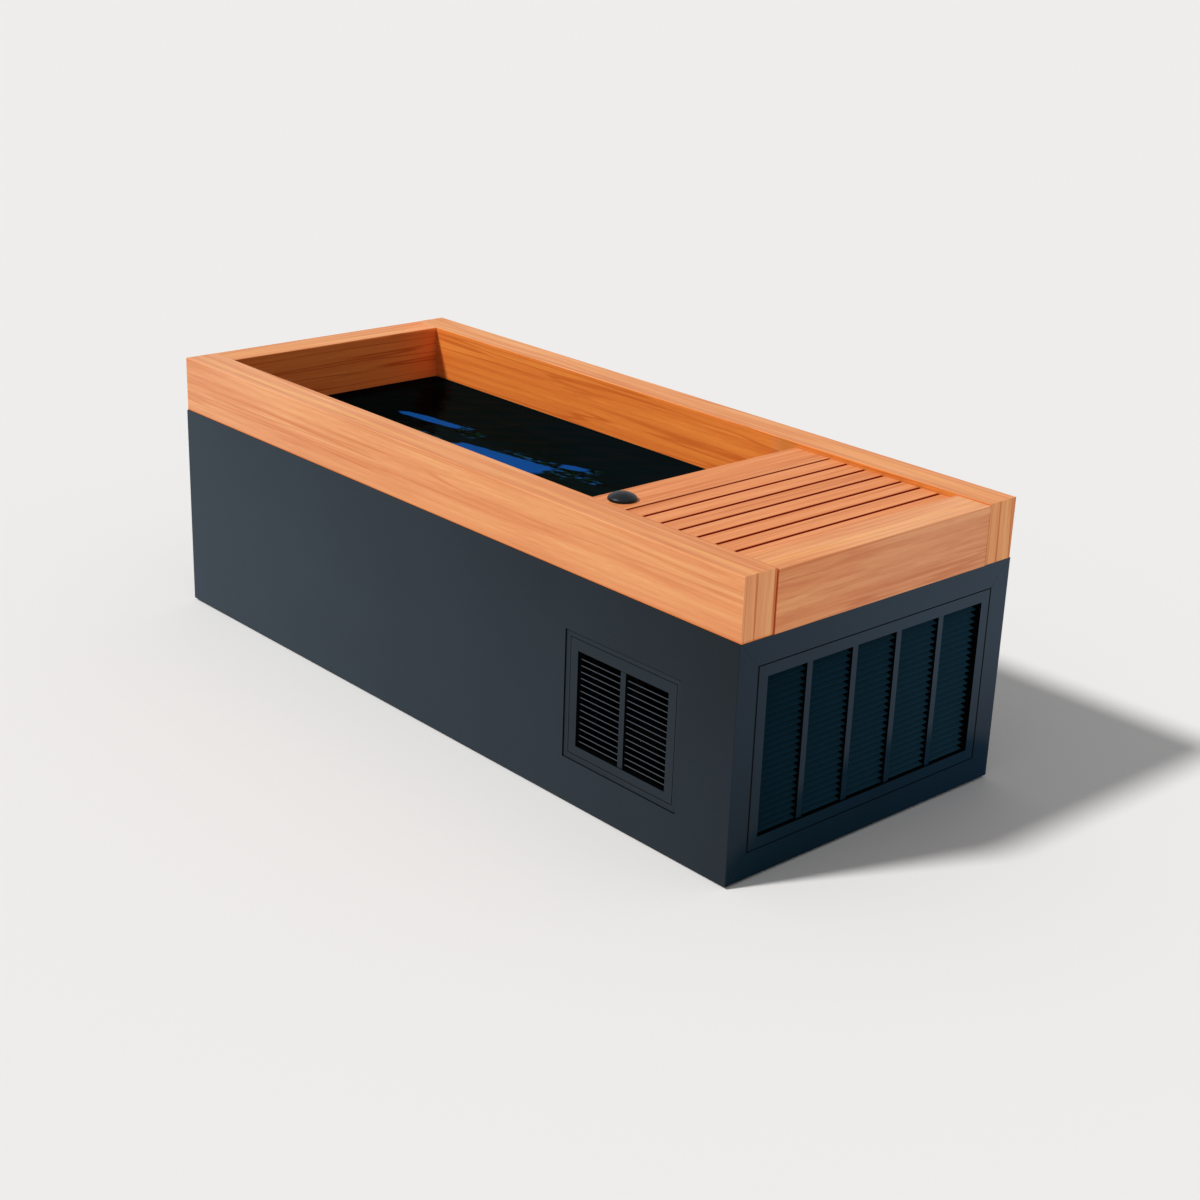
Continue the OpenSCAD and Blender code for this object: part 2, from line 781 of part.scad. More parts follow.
// End vent: a pull-off grille of five bays with louvres; the outer bays' louvres end short of the opening
module end_bays(y = 0) { translate([x_case, y - end_bays_w / 2, end_bay_z0]) children(); }
module end_grille_frame() {
    lo_z = end_z0 + grille_gap;
    hi_z = end_z1 - grille_gap;
    lip_x = x_sheet - end_grille_lip;
    color("slategray") {
        difference() {
            block([lip_x, -grille_y, lo_z], [x_case, grille_y, hi_z]);
            block([lip_x - cut, -grille_y + sheet_t, lo_z + sheet_t],
                [x_sheet, grille_y - sheet_t, hi_z - sheet_t]);
            end_bays() block([-sheet_t - cut, 0, 0], [cut, end_bays_w, end_bay_h]);
        }
        for (i = [1:end_bay_n - 1]) end_bays(i * (end_bay_w + end_mullion_w) - end_mullion_w)
            block([-end_mullion_recess - sheet_t, 0, 0], [-end_mullion_recess, end_mullion_w, end_bay_h]);
    }
}
module end_vent_boxes() {
    walls = concat([end_side_room - box_wall, end_bays_w - end_side_room],
        [for (i = [1:end_bay_n - 1], y = [-end_mullion_w, -box_wall]) i * (end_bay_w + end_mullion_w) + y]);
    color("black") end_bays() rotate(90)
        vent_box(sheet_t, [end_bays_w, end_box_d, end_bay_h], walls, end_mullion_recess + sheet_t);
}
module end_louvres() {
    pitch = end_bay_h / (end_blade_n + end_top_share);
    color("darkslategray") for (i = [0:end_bay_n - 1], k = [0:end_blade_n - 1]) {
        from = i == 0 ? end_side_room : 0;
        to = i == end_bay_n - 1 ? end_bay_w - end_side_room : end_bay_w;
        end_bays(i * (end_bay_w + end_mullion_w))
            translate([-end_blade_recess, from, (k + end_tip_share) * pitch]) rotate([0, end_blade_tilt, 0])
                translate([-end_blade_d, 0, 0]) cube([end_blade_d, to - from, blade_t]);
    }
}

// Stepped blocks behind the frames' lips that the grilles' lips meet
module grille_catches() {
    end_rise = catch_share * (end_z1 - end_z0);
    side_rise = catch_share * side_vent_h;
    lip_x = x_sheet - end_lip;
    lip_y = side_face_y + trim_lip;
    color("silver") {
        for (flip = [0, 1], z = [end_z0 + end_rise, end_z1 - end_rise - catch_w]) mirror([0, flip, 0]) {
            block([lip_x - catch_t, end_y - catch_reach, z], [lip_x, end_y + sheet_t, z + catch_w]);
            block([lip_x - catch_t, end_y - catch_reach, z],
                [lip_x + catch_step, end_y - grille_gap, z + catch_w]);
        }
        for (z = [side_z0 + side_rise, side_z1 - side_rise - catch_w], side = [0, 1]) {
            edge = side == 0 ? side_x0 + side_trim_w : -side_x1 + side_trim_w;
            mirror([side, 0, 0]) {
                block([edge - sheet_t, lip_y, z], [edge + catch_reach, lip_y + catch_t, z + catch_w]);
                block([edge + grille_gap, lip_y - catch_step, z],
                    [edge + catch_reach, lip_y + catch_t, z + catch_w]);
            }
        }
    }
}

// Basin, its foam, and the bulkhead to the machine bay
fitting_at = [[-pump_y, pump_z], [drain_y, drain_z], [return_y, return_z]];
module fitting_bores(r) {
    for (p = fitting_at) rod([x_basin - cut, p[0], p[1]], "x", r, fitting_end - x_basin + 2 * cut);
}
module basin_outline(grow) {
    l = x_basin + x_in + 2 * grow;
    translate([(x_basin - x_in) / 2, 0]) round_rect(l, 2 * (y_in + grow), basin_r + grow);
}
module tub_liner() {
    color("black") difference() {
        union() {
            translate([0, 0, z_liner]) linear_extrude(z_top - z_liner) basin_outline(liner_t);
            block([-x_flange, -y_flange, z_ring_top], [x_bulk, y_flange, z_top]);
        }
        translate([0, 0, z_basin]) linear_extrude(z_top - z_basin + cut) basin_outline(0);
        fitting_bores(pipe_r + fitting_fit);
        rail_screw_bores();
    }
}
module foam_boards() {
    foam_x = x_sheet - tube_w - foam_gap;
    liner_x = x_in + liner_t;
    liner_y = y_in + liner_t;
    side_y = y_post - foam_gap;
    foam_top = z_ring - screw_head_h - foam_gap;
    color("khaki") {
        for (side = [-1, 1])
            block([-foam_x, side < 0 ? -side_y : liner_y, z_floor],
                [x_bulk - foam_gap, side < 0 ? -liner_y : side_y, foam_top]);
        block([-foam_x, -liner_y + foam_gap, z_floor], [-liner_x, liner_y - foam_gap, foam_top]);
        difference() {
            block([x_basin + liner_t, -liner_y + foam_gap, z_floor],
                [x_bulk - foam_gap, liner_y - foam_gap, foam_top]);
            fitting_bores(pipe_r + fitting_fit);
        }
    }
}
module floor_foam() {
    color("khaki") block([-x_in - liner_t + foam_gap, -y_in - liner_t + foam_gap, z_floor],
        [x_basin + liner_t - foam_gap, y_in + liner_t - foam_gap, z_liner]);
}
module bulkhead() {
    color("gainsboro") difference() {
        block([x_bulk, -y_post, z_floor], [x_bay, y_post, z_ring]);
        fitting_bores(pipe_r + fitting_fit);
    }
}
module wall_fittings() {
    color("gray") for (p = fitting_at) difference() {
        union() {
            rod([x_basin - fitting_flange_t, p[0], p[1]], "x", fitting_flange_r, fitting_flange_t);
            rod([x_basin - fitting_flange_t, p[0], p[1]], "x", pipe_r,
                fitting_end - x_basin + fitting_flange_t);
            rod([x_bay, p[0], p[1]], "x", stub_r, fitting_nut_t);
        }
        rod([x_basin - fitting_flange_t - cut, p[0], p[1]], "x", pipe_bore,
            fitting_end - x_basin + fitting_flange_t + 2 * cut);
    }
}

// Cedar rails of the rim, and the cross rail under the deck's edge
module front_rail() {
    color("sandybrown") difference() {
        timber_x([-x_rail, -y_rail, z_top], [x_rail, -y_in, z_rim], rail_edge_r);
        rail_screw_bores();
    }
}
module back_rail() {
    color("sandybrown") difference() {
        timber_x([-x_rail, y_in, z_top], [x_rail, y_rail, z_rim], rail_edge_r);
        rail_screw_bores();
    }
}
module far_end_rail() {
    color("sandybrown") difference() {
        timber_y([-x_rail, -y_in, z_top], [-x_in, y_in, z_rim], rail_edge_r);
        rail_screw_bores();
    }
}
module near_end_rail() {
    color("sandybrown") difference() {
        timber_y([x_in, -y_in, z_top], [x_rail + end_rail_proud, y_in, z_rim - end_rail_drop], rail_edge_r);
        rail_screw_bores();
    }
}
module cross_rail() {
    color("sandybrown") difference() {
        timber_y([x_basin, -y_in, z_top], [x_cross_rail, y_in, z_deck_under], rail_edge_r);
        rod([button_x, button_y, z_top - cut], "z", nut_recess_r, z_deck_under - z_top + 2 * cut);
        rail_screw_bores();
    }
}
module rail_screws() {
    color("silver") for (p = rail_screw_at) {
        rod([p.x, p.y, z_ring - screw_head_h], "z", screw_head_r, screw_head_h);
        rod([p.x, p.y, z_ring - screw_head_h], "z", rail_screw_r,
            screw_head_h + tube_w + sheet_t + rail_screw_bite);
    }
}

// Deck: the fixed first board, and a lift-out hatch of slats on battens
deck_y = y_in - deck_gap;
module deck_front_board() {
    color("sandybrown") difference() {
        timber_y([x_deck, -deck_y, z_deck_under], [x_deck + front_board_w, deck_y, z_deck], deck_edge_r);
        rod([button_x, button_y, z_deck_under - cut], "z", barrel_r + board_bore_fit, deck_t + 2 * cut);
    }
}
module deck_ledgers() {
    color("peru") for (side = [-1, 1])
        block([x_cross_rail, side < 0 ? -y_in : y_in - ledger_w, z_deck_under - ledger_h],
            [x_in, side < 0 ? -y_in + ledger_w : y_in, z_deck_under]);
}
slat_mid = [for (i = [0:slat_n - 1]) (slat_x[i] + slat_end[i]) / 2];
module deck_screw_bores() {
    for (x = slat_mid, y = batten_at)
        rod([x, y, z_deck_under - batten_t - cut], "z", deck_screw_r + screw_fit,
            batten_t + cut + deck_screw_bite + screw_fit);
}
module hatch_slats() {
    color("sandybrown") difference() {
        for (i = [0:slat_n - 1])
            timber_y([slat_x[i], -deck_y, z_deck_under], [slat_end[i], deck_y, z_deck], deck_edge_r);
        deck_screw_bores();
    }
}
module hatch_battens() {
    color("peru") difference() {
        for (y = batten_at)
            block([x_hatch + deck_gap, y - batten_w / 2, z_deck_under - batten_t],
                [x_hatch_end - batten_end_gap, y + batten_w / 2, z_deck_under]);
        deck_screw_bores();
    }
}
module hatch_screws() {
    color("silver") for (x = slat_mid, y = batten_at) {
        rod([x, y, z_deck_under - batten_t], "z", deck_screw_r, batten_t + deck_screw_bite);
        rod([x, y, z_deck_under - batten_t - deck_screw_r], "z", deck_screw_r * 2, deck_screw_r);
    }
}

// Air button: a flanged barrel, a domed plunger on a spring, and the nut under the board
module button_body() {
    color("black") translate([button_x, button_y, z_deck]) difference() {
        union() {
            cylinder(h = button_flange_t, r = button_flange_r);
            translate([0, 0, -barrel_l]) cylinder(h = barrel_l + button_flange_t, r = barrel_r);
        }
        translate([0, 0, barrel_floor - barrel_l])
            cylinder(h = barrel_l + button_flange_t, r = plunger_r + button_fit);
    }
}
module button_dome() {
    reach = (dome_edge - [0, dome_h - cap_r]) * 2;
    color("black") translate([button_x, button_y, z_deck]) {
        rotate_extrude() intersection() {
            union() {
                translate(dome_edge) circle(dome_shoulder_r);
                intersection() {
                    translate([0, dome_h - cap_r]) circle(cap_r, $fn = cap_sides);
                    polygon([[0, dome_z], [dome_edge.x, dome_z], dome_edge, dome_edge + reach,
                        [0, dome_h + reach.y]]);
                }
            }
            difference() {
                translate([0, dome_z]) square([dome_r, dome_h - dome_z]);
                square([button_flange_r + dome_room, dome_z + button_flange_t]);
            }
        }
        translate([0, 0, -plunger_l])
            cylinder(h = plunger_l + dome_edge.y + button_flange_t, r = plunger_r);
        translate([0, 0, -plunger_l - pin_r]) cylinder(h = pin_r + cut, r = pin_r);
    }
}

// A helix of round wire: rings of points along the coil, joined by triangles
function coil_ring(a, r, rise, wire, sides) =
    [for (j = [0:sides - 1]) let (t = full_turn * j / sides)
        [(r + wire * cos(t)) * cos(a), (r + wire * cos(t)) * sin(a), rise + wire * sin(t)]];
module coil(r, wire, h, turns, steps, sides) {
    n = turns * steps;
    points = [for (i = [0:n]) each coil_ring(full_turn * i / steps, r, wire + (h - 2 * wire) * i / n, wire, sides)];
    faces = concat(
        [[for (j = [0:sides - 1]) j]],
        [[for (j = [sides - 1:-1:0]) n * sides + j]],
        [for (i = [0:n - 1], j = [0:sides - 1]) let (a = i * sides + j, b = i * sides + (j + 1) % sides)
            [a, a + sides, b + sides]],
        [for (i = [0:n - 1], j = [0:sides - 1]) let (a = i * sides + j, b = i * sides + (j + 1) % sides)
            [a, b + sides, b]]);
    polyhedron(points, faces);
}
module button_spring() {
    from = barrel_floor - barrel_l + screw_fit;
    to = -plunger_l - button_travel - screw_fit;
    color("silver") translate([button_x, button_y, z_deck + from])
        coil(spring_r, spring_wire_r, to - from, spring_turns, spring_steps, spring_sides);
}
module button_nut() {
    color("black") translate([button_x, button_y, z_deck_under - button_nut_h]) difference() {
        cylinder(h = button_nut_h, r = button_nut_r);
        translate([0, 0, -cut]) cylinder(h = button_nut_h + 2 * cut, r = barrel_r + screw_fit);
    }
}

// Chiller
module compressor() {
    color("black") translate([compressor_at.x, compressor_at.y, z_floor]) {
        leg = compressor_plate_w / 2 - compressor_leg_r;
        for (sx = [-1, 1], sy = [-1, 1]) translate([sx * leg, sy * leg, 0])
            cylinder(h = compressor_leg_h, r = compressor_leg_r);
        translate([0, 0, compressor_leg_h]) linear_extrude(compressor_plate_t)
            round_rect(compressor_plate_w, compressor_plate_w, compressor_leg_r);
        translate([0, 0, compressor_leg_h + compressor_plate_t])
            round_can(compressor_r, compressor_h, shoulder_r);
    }
}
module condenser_coil() {
    row = coil_h / coil_rows;
    color("silver") {
        block([coil_x0, coil_y0 + coil_end_t, z_floor],
            [coil_x1, coil_y0 + coil_w - coil_end_t, z_floor + coil_h]);
        for (y = [coil_y0, coil_y0 + coil_w - coil_end_t])
            block([coil_x0, y, z_floor], [coil_x1, y + coil_end_t, z_floor + coil_h]);
        for (i = [0:coil_rows - 2])
            translate([(coil_x0 + coil_x1) / 2, coil_y0 + coil_w, z_floor + (i + 1) * row]) rotate([90, 0, 90])
                rotate_extrude(angle = full_turn / 2)
                    translate([row / 2 - coil_tube_r, 0]) circle(coil_tube_r);
    }
}
module fan_shroud() {
    color("dimgray") difference() {
        union() {
            block([shroud_x, coil_y0, z_floor], [coil_x0, coil_y0 + coil_w, z_floor + coil_h]);
            rod([shroud_x - shroud_ring_l, coil_y, fan_z], "x", shroud_r + shroud_ring_t,
                shroud_ring_l + shroud_t);
        }
        rod([shroud_x - shroud_ring_l - cut, coil_y, fan_z], "x", shroud_r,
            shroud_ring_l + shroud_t + 2 * cut);
    }
}
fan_arm_x = shroud_x - shroud_ring_l - arm_t;
module fan_motor() {
    color("black") translate([fan_arm_x, coil_y, fan_z]) difference() {
        union() {
            rod([-fan_motor_l, 0, 0], "x", fan_motor_r, fan_motor_l + arm_t + fan_cap_t);
            for (a = [45:90:315]) rotate([a, 0, 0])
                block([0, -arm_w / 2, fan_motor_r - arm_w / 2], [arm_t, arm_w / 2, shroud_r + shroud_ring_t]);
        }
        rod([arm_t - fan_shaft_l, 0, 0], "x", fan_shaft_r + shaft_fit, fan_shaft_l + fan_cap_t + cut);
    }
}
module fan_rotor() {
    hub_x = arm_t + fan_hub_gap;
    color("dimgray") translate([fan_arm_x, coil_y, fan_z]) {
        rod([hub_x, 0, 0], "x", fan_hub_r, fan_hub_l);
        rod([hub_x - fan_shaft_l, 0, 0], "x", fan_shaft_r, fan_shaft_l + fan_hub_l);
        intersection() {
            rod([hub_x - fan_hub_gap / 2, 0, 0], "x", fan_r, fan_hub_l + fan_hub_gap);
            for (i = [0:fan_blade_n - 1]) rotate([i * full_turn / fan_blade_n, 0, 0])
                translate([hub_x + fan_hub_l / 2, 0, 0]) rotate([0, 0, fan_blade_tilt])
                    block([-fan_blade_t / 2, -fan_blade_chord / 2, fan_hub_r / 2],
                        [fan_blade_t / 2, fan_blade_chord / 2, fan_r * 2]);
        }
    }
}
module heat_exchanger() {
    x = exchanger_at.x;
    y = exchanger_at.y;
    color("gray") difference() {
        union() {
            translate([x, y, z_floor]) round_can(exchanger_r, exchanger_h, shoulder_r / 2);
            rod([x, y, z_floor + exchanger_h - cut], "z", stub_r, stub_l + cut);
            rod([x - exchanger_r - stub_l, y, z_floor + filter_out_h], "x", stub_r, stub_l + exchanger_r / 2);
        }
        rod([x, y, z_floor + exchanger_h - shoulder_r], "z", pipe_bore, stub_l + shoulder_r + cut);
        rod([x - exchanger_r - stub_l - cut, y, z_floor + filter_out_h], "x", pipe_bore,
            stub_l + exchanger_r / 2);
    }
}

// Pump: a casing open to the motor's face plate, the impeller on its shaft, and the motor
module pump_casing() {
    color("black") translate([pump_x, -pump_y, pump_z]) difference() {
        union() {
            rod([-casing_t / 2, 0, 0], "x", pump_r, casing_t);
            rod([-casing_t / 2 - stub_l, 0, 0], "x", stub_r, casing_t / 2 + stub_l);
            cylinder(h = discharge_h, r = stub_r);
        }
        rod([casing_wall - casing_t / 2, 0, 0], "x", pump_r - casing_wall, casing_t);
        rod([-casing_t / 2 - stub_l - cut, 0, 0], "x", pipe_bore, casing_t);
        cylinder(h = discharge_h + cut, r = pipe_bore);
    }
}
module pump_impeller() {
    color("silver") translate([pump_x, -pump_y, pump_z]) {
        rod([0, 0, 0], "x", impeller_r, impeller_t);
        for (i = [0:vane_n - 1]) rotate([i * full_turn / vane_n, 0, 0])
            block([-vane_h, -impeller_t / 2, stub_r],
                [impeller_t / 2, impeller_t / 2, impeller_r - impeller_t]);
        rod([0, 0, 0], "x", shaft_r, shaft_l);
    }
}
module pump_motor() {
    face = casing_t / 2;
    plate_t = casing_wall;
    color("darkslategray") translate([pump_x + face, -pump_y, pump_z]) difference() {
        union() {
            rod([0, 0, 0], "x", pump_r, plate_t);
            rod([0, 0, 0], "x", pump_motor_r, pump_motor_l);
            block([plate_t, -pump_foot_w / 2, -pump_axis_h],
                [pump_motor_l, pump_foot_w / 2, pump_foot_t - pump_axis_h]);
            block([pump_motor_l / 4, -pump_foot_w / 4, -pump_axis_h],
                [pump_motor_l * 3 / 4, pump_foot_w / 4, 0]);
        }
        rod([-cut, 0, 0], "x", shaft_r + shaft_fit, shaft_l);
    }
}

// Filter: a body with a rim, a lid with a turning bar, and the pleated cartridge
module filter_housing() {
    color("gray") translate([filter_at.x, filter_at.y, z_floor]) difference() {
        union() {
            cylinder(h = filter_h, r = filter_r);
            translate([0, 0, filter_h - filter_rim_h]) cylinder(h = filter_rim_h, r = filter_rim_r);
            rod([0, -filter_r - stub_l, filter_in_h], "y", stub_r, stub_l + filter_r / 2);
            rod([-filter_r - stub_l, 0, filter_out_h], "x", stub_r, stub_l + filter_r / 2);
        }
        translate([0, 0, filter_floor]) cylinder(h = filter_h, r = filter_r - filter_wall);
        rod([0, -filter_r - stub_l - cut, filter_in_h], "y", pipe_bore, stub_l + filter_r);
        rod([-filter_r - stub_l - cut, 0, filter_out_h], "x", pipe_bore, stub_l + filter_r);
    }
}
module filter_lid() {
    color("black") translate([filter_at.x, filter_at.y, z_floor + filter_h]) {
        cylinder(h = lid_t, r = filter_rim_r);
        translate([0, 0, -lid_plug]) cylinder(h = lid_plug, r = filter_r - filter_wall - lid_fit);
        block([-filter_rim_r * 3 / 4, -lid_bar_w / 2, lid_t],
            [filter_rim_r * 3 / 4, lid_bar_w / 2, lid_t + lid_bar_h]);
    }
}
module filter_cartridge() {
    h = filter_h - filter_floor - lid_plug - cartridge_top_gap;
    color("white") translate([filter_at.x, filter_at.y, z_floor + filter_floor]) difference() {
        union() {
            for (z = [0, h - cartridge_cap_t])
                translate([0, 0, z]) cylinder(h = cartridge_cap_t, r = cartridge_r);
            for (i = [0:cartridge_pleats - 1]) rotate(i * full_turn / cartridge_pleats)
                block([cartridge_bore_r + cut, -cut, cartridge_cap_t / 2],
                    [cartridge_r - cut, cut, h - cartridge_cap_t / 2]);
            cylinder(h = h, r = cartridge_bore_r + 2 * cut);
        }
        translate([0, 0, cartridge_cap_t / 2]) cylinder(h = h, r = cartridge_bore_r);
    }
}

// Control box, with its lid and three cable glands below
module control_box() {
    z0 = control_z;
    color("lightgray") {
        block([control_x, y_sheet - control_d, z0], [control_x + control_w, y_sheet, z0 + control_h]);
        block([control_x + cut, y_sheet - control_d - box_wall, z0 + cut],
            [control_x + control_w - cut, y_sheet - control_d + cut, z0 + control_h - cut]);
        for (i = [1:3])
            rod([control_x + i * control_w / 4, y_sheet - control_d / 2, z0 - gland_l], "z",
                gland_r, gland_l);
    }
}

// Water pipes between the fittings, pump, filter and water chiller, and to the drain
module water_pipes() {
    filter_x = filter_at.x - filter_r - stub_l;
    riser_x = filter_x - pipe_bend_r - stub_l / 4;
    out_z = z_floor + filter_out_h;
    in_z = z_floor + filter_in_h;
    color("whitesmoke") {
        pipe_line([[fitting_end, -pump_y, pump_z], [pump_x - casing_t / 2 - stub_l, -pump_y, pump_z]],
            pipe_r, pipe_bore, pipe_bend_r);
        pipe_line([[pump_x, -pump_y, pump_z + discharge_h], [pump_x, -pump_y, in_z],
            [filter_at.x, -pump_y, in_z], [filter_at.x, filter_at.y - filter_r - stub_l, in_z]],
            pipe_r, pipe_bore, pipe_bend_r);
        pipe_line([[filter_x, filter_at.y, out_z], [riser_x, filter_at.y, out_z],
            [riser_x, exchanger_at.y, out_z], [exchanger_at.x - exchanger_r - stub_l, exchanger_at.y, out_z]],
            pipe_r, pipe_bore, pipe_bend_r);
        pipe_line([[exchanger_at.x, exchanger_at.y, z_floor + exchanger_h + stub_l],
            [exchanger_at.x, exchanger_at.y, return_z], [fitting_end, return_y, return_z]],
            pipe_r, pipe_bore, pipe_bend_r);
        pipe_line([[fitting_end, drain_y, drain_z], [valve_x, drain_y, drain_z],
            [valve_x, niche_y - niche_wall, drain_z]], pipe_r, pipe_bore, pipe_bend_r);
    }
}

// Copper lines: hot gas to the condenser, liquid to the water chiller, and gas back
module refrigerant_lines() {
    coil_mid = (coil_x0 + coil_x1) / 2;
    hot_z = z_floor + coil_h + copper_bend_r + copper_r;
    inlet_z = z_floor + coil_h - copper_low;
    low_z = z_floor + copper_low;
    hot = [compressor_at.x - line_offset / 2, compressor_at.y - line_offset];
    gas = [compressor_at.x + line_offset / 2, compressor_at.y + line_offset];
    side_y = coil_y0 - copper_out;
    liquid_x = fan_arm_x - fan_motor_l / 2;
    skin_x = exchanger_at.x + exchanger_r;
    color("peru") {
        pipe_line([[hot.x, hot.y, compressor_top], [hot.x, hot.y, hot_z], [coil_mid, hot.y, hot_z],
            [coil_mid, side_y, hot_z], [coil_mid, side_y, inlet_z], [coil_mid, coil_y0, inlet_z]],
            copper_r, 0, copper_bend_r);
        pipe_line([[coil_mid, coil_y0, low_z], [coil_mid, side_y, low_z], [liquid_x, side_y, low_z],
            [liquid_x, exchanger_at.y, low_z], [skin_x, exchanger_at.y, low_z]], copper_r, 0, copper_bend_r);
        pipe_line([[skin_x, exchanger_at.y, gas_z], [gas.x, exchanger_at.y, gas_z], [gas.x, gas.y, gas_z],
            [gas.x, gas.y, compressor_top]], copper_r, 0, copper_bend_r);
    }
}

// Niche in the back panel, welded up from five sheets, with the cable's way in
module service_niche() {
    wide = niche_w / 2;
    high = niche_h / 2;
    color("slategray") translate([niche_x, 0, niche_z]) {
        for (z = [-high, high - niche_wall])
            block([-wide, niche_y + weld_gap, z], [wide, y_case, z + niche_wall]);
        for (x = [-wide, wide - niche_wall])
            block([x, niche_y + weld_gap, niche_wall + weld_gap - high],
                [x + niche_wall, y_case, high - niche_wall - weld_gap]);
    }
    color("slategray") difference() {
        translate([niche_x, 0, niche_z]) block([-wide, niche_y - niche_wall, -high], [wide, niche_y, high]);
        rod([valve_x, niche_y - niche_wall - cut, drain_z], "y", pipe_bore, niche_wall + 2 * cut);
        rod([valve_x + gland_off, niche_y - niche_wall - cut, drain_z], "y", cable_bore_r,
            niche_wall + 2 * cut);
    }
    color("black") translate([valve_x + gland_off, niche_y, drain_z]) difference() {
        rod([0, 0, 0], "y", gland_r, gland_l);
        rod([0, -cut, 0], "y", cable_bore_r, gland_l + 2 * cut);
    }
}
valve_mid = niche_y + valve_l / 2;
module drain_valve() {
    color("goldenrod") difference() {
        union() {
            rod([valve_x, niche_y, drain_z], "y", valve_r, valve_l);
            rod([valve_x, niche_y + valve_l - cut, drain_z], "y", spigot_r, spigot_l + cut);
            rod([valve_x, valve_mid, drain_z], "z", boss_r, valve_r + boss_h);
        }
        rod([valve_x, niche_y - cut, drain_z], "y", valve_bore - cut, niche_d + cut);
        translate([valve_x, valve_mid, drain_z]) sphere(ball_r + ball_fit);
        rod([valve_x, valve_mid, drain_z], "z", stem_r + stem_fit, valve_r + boss_h + cut);
    }
}
module drain_lever() {
    lever_z = valve_r + boss_h + lever_gap;
    color("firebrick") translate([valve_x, valve_mid, drain_z]) {
        difference() {
            sphere(ball_r);
            rod([-ball_r, 0, 0], "x", valve_bore - cut, 2 * ball_r);
        }
        rod([0, 0, ball_r / 2 + valve_bore / 2], "z", stem_r,
            lever_z + lever_t - ball_r / 2 - valve_bore / 2);
        block([-lever_w, -lever_w / 2, lever_z], [lever_l, lever_w / 2, lever_z + lever_t]);
    }
}

base_long_tubes();
base_cross_tubes();
frame_posts();
top_long_tubes();
top_cross_tubes();
levelling_feet();
floor_board();
front_panel();
back_panel();
far_end_panel();
end_frame_top();
end_frame_bottom();
end_frame_front();
end_frame_back();
side_vent_trim();
side_grille_frame();
side_vent_boxes();
side_louvres();
end_grille_frame();
end_vent_boxes();
end_louvres();
grille_catches();
tub_liner();
foam_boards();
floor_foam();
bulkhead();
front_rail();
back_rail();
far_end_rail();
near_end_rail();
cross_rail();
rail_screws();
deck_front_board();
deck_ledgers();
hatch_slats();
hatch_battens();
hatch_screws();
button_body();
button_dome();
button_spring();
button_nut();
compressor();
condenser_coil();
fan_shroud();
fan_motor();
fan_rotor();
heat_exchanger();
pump_casing();
pump_impeller();
pump_motor();
filter_housing();
filter_lid();
filter_cartridge();
control_box();
water_pipes();
refrigerant_lines();
wall_fittings();
service_niche();
drain_valve();
drain_lever();
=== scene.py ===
"""Looks of the cold plunge tub: cedar rim and deck, painted steel case, louvred vents, water and air button.

Lengths are metres in the frame of the construction: X runs towards the machine end, Y to the back, Z up.
"""
import math

import bpy
import numpy as np
from mathutils import Matrix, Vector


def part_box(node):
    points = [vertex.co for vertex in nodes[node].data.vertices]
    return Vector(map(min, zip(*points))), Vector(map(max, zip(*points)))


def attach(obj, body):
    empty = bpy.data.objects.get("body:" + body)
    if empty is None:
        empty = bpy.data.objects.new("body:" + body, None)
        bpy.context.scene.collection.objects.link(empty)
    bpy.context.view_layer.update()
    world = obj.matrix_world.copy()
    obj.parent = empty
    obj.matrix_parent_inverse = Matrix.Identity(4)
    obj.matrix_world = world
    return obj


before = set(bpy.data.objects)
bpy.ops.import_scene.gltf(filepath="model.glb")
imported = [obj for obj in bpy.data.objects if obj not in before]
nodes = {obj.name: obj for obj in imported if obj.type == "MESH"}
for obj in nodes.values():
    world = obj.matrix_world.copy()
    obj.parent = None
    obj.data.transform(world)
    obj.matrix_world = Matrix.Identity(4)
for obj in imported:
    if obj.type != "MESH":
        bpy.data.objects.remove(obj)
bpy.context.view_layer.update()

AXES = {"x": 0, "y": 1, "z": 2}


# Shader helpers

def shade(red, green, blue):
    """A colour given by its 0 to 255 screen values, as the linear values that shaders take."""
    def linear(value):
        value = value / 255
        return value / 12.92 if value <= 0.04045 else ((value + 0.055) / 1.055) ** 2.4
    return (linear(red), linear(green), linear(blue), 1.0)


def fill(tree, sockets, values):
    """Sets sockets to values, or links them from other sockets."""
    for key, value in values.items():
        if isinstance(value, bpy.types.NodeSocket):
            tree.links.new(value, sockets[key])
        else:
            sockets[key].default_value = value


def put(tree, kind, ins=None, **settings):
    """Adds a node of a kind, with its settings, and its inputs as values or as links from other sockets."""
    node = tree.nodes.new("ShaderNode" + kind)
    for name, value in settings.items():
        setattr(node, name, value)
    fill(tree, node.inputs, ins or {})
    return node


def math_node(tree, operation, a, b=0.0, clamp=False):
    """One sum, product or other calculation, as the socket that holds its result."""
    return put(tree, "Math", {0: a, 1: b}, operation=operation, use_clamp=clamp).outputs[0]


def combined(tree, operation, first, more):
    """Several values put together by one operation, in their order."""
    for value in more:
        first = math_node(tree, operation, first, value)
    return first


def total(tree, first, *more):
    """The sum of several values."""
    return combined(tree, "ADD", first, more)


def product(tree, first, *more):
    """The product of several values."""
    return combined(tree, "MULTIPLY", first, more)


def most(tree, first, *more):
    """The largest of several values."""
    return combined(tree, "MAXIMUM", first, more)


def least(tree, first, *more):
    """The smallest of several values."""
    return combined(tree, "MINIMUM", first, more)


def less(tree, value, taken, clamp=False):
    """A value with another one taken from it."""
    return math_node(tree, "SUBTRACT", value, taken, clamp)


def apart(tree, value, other):
    """The distance between two values."""
    return math_node(tree, "ABSOLUTE", less(tree, value, other))


def split(tree, vector):
    """The parts of a place or direction along X, Y and Z."""
    return put(tree, "SeparateXYZ", {0: vector}).outputs


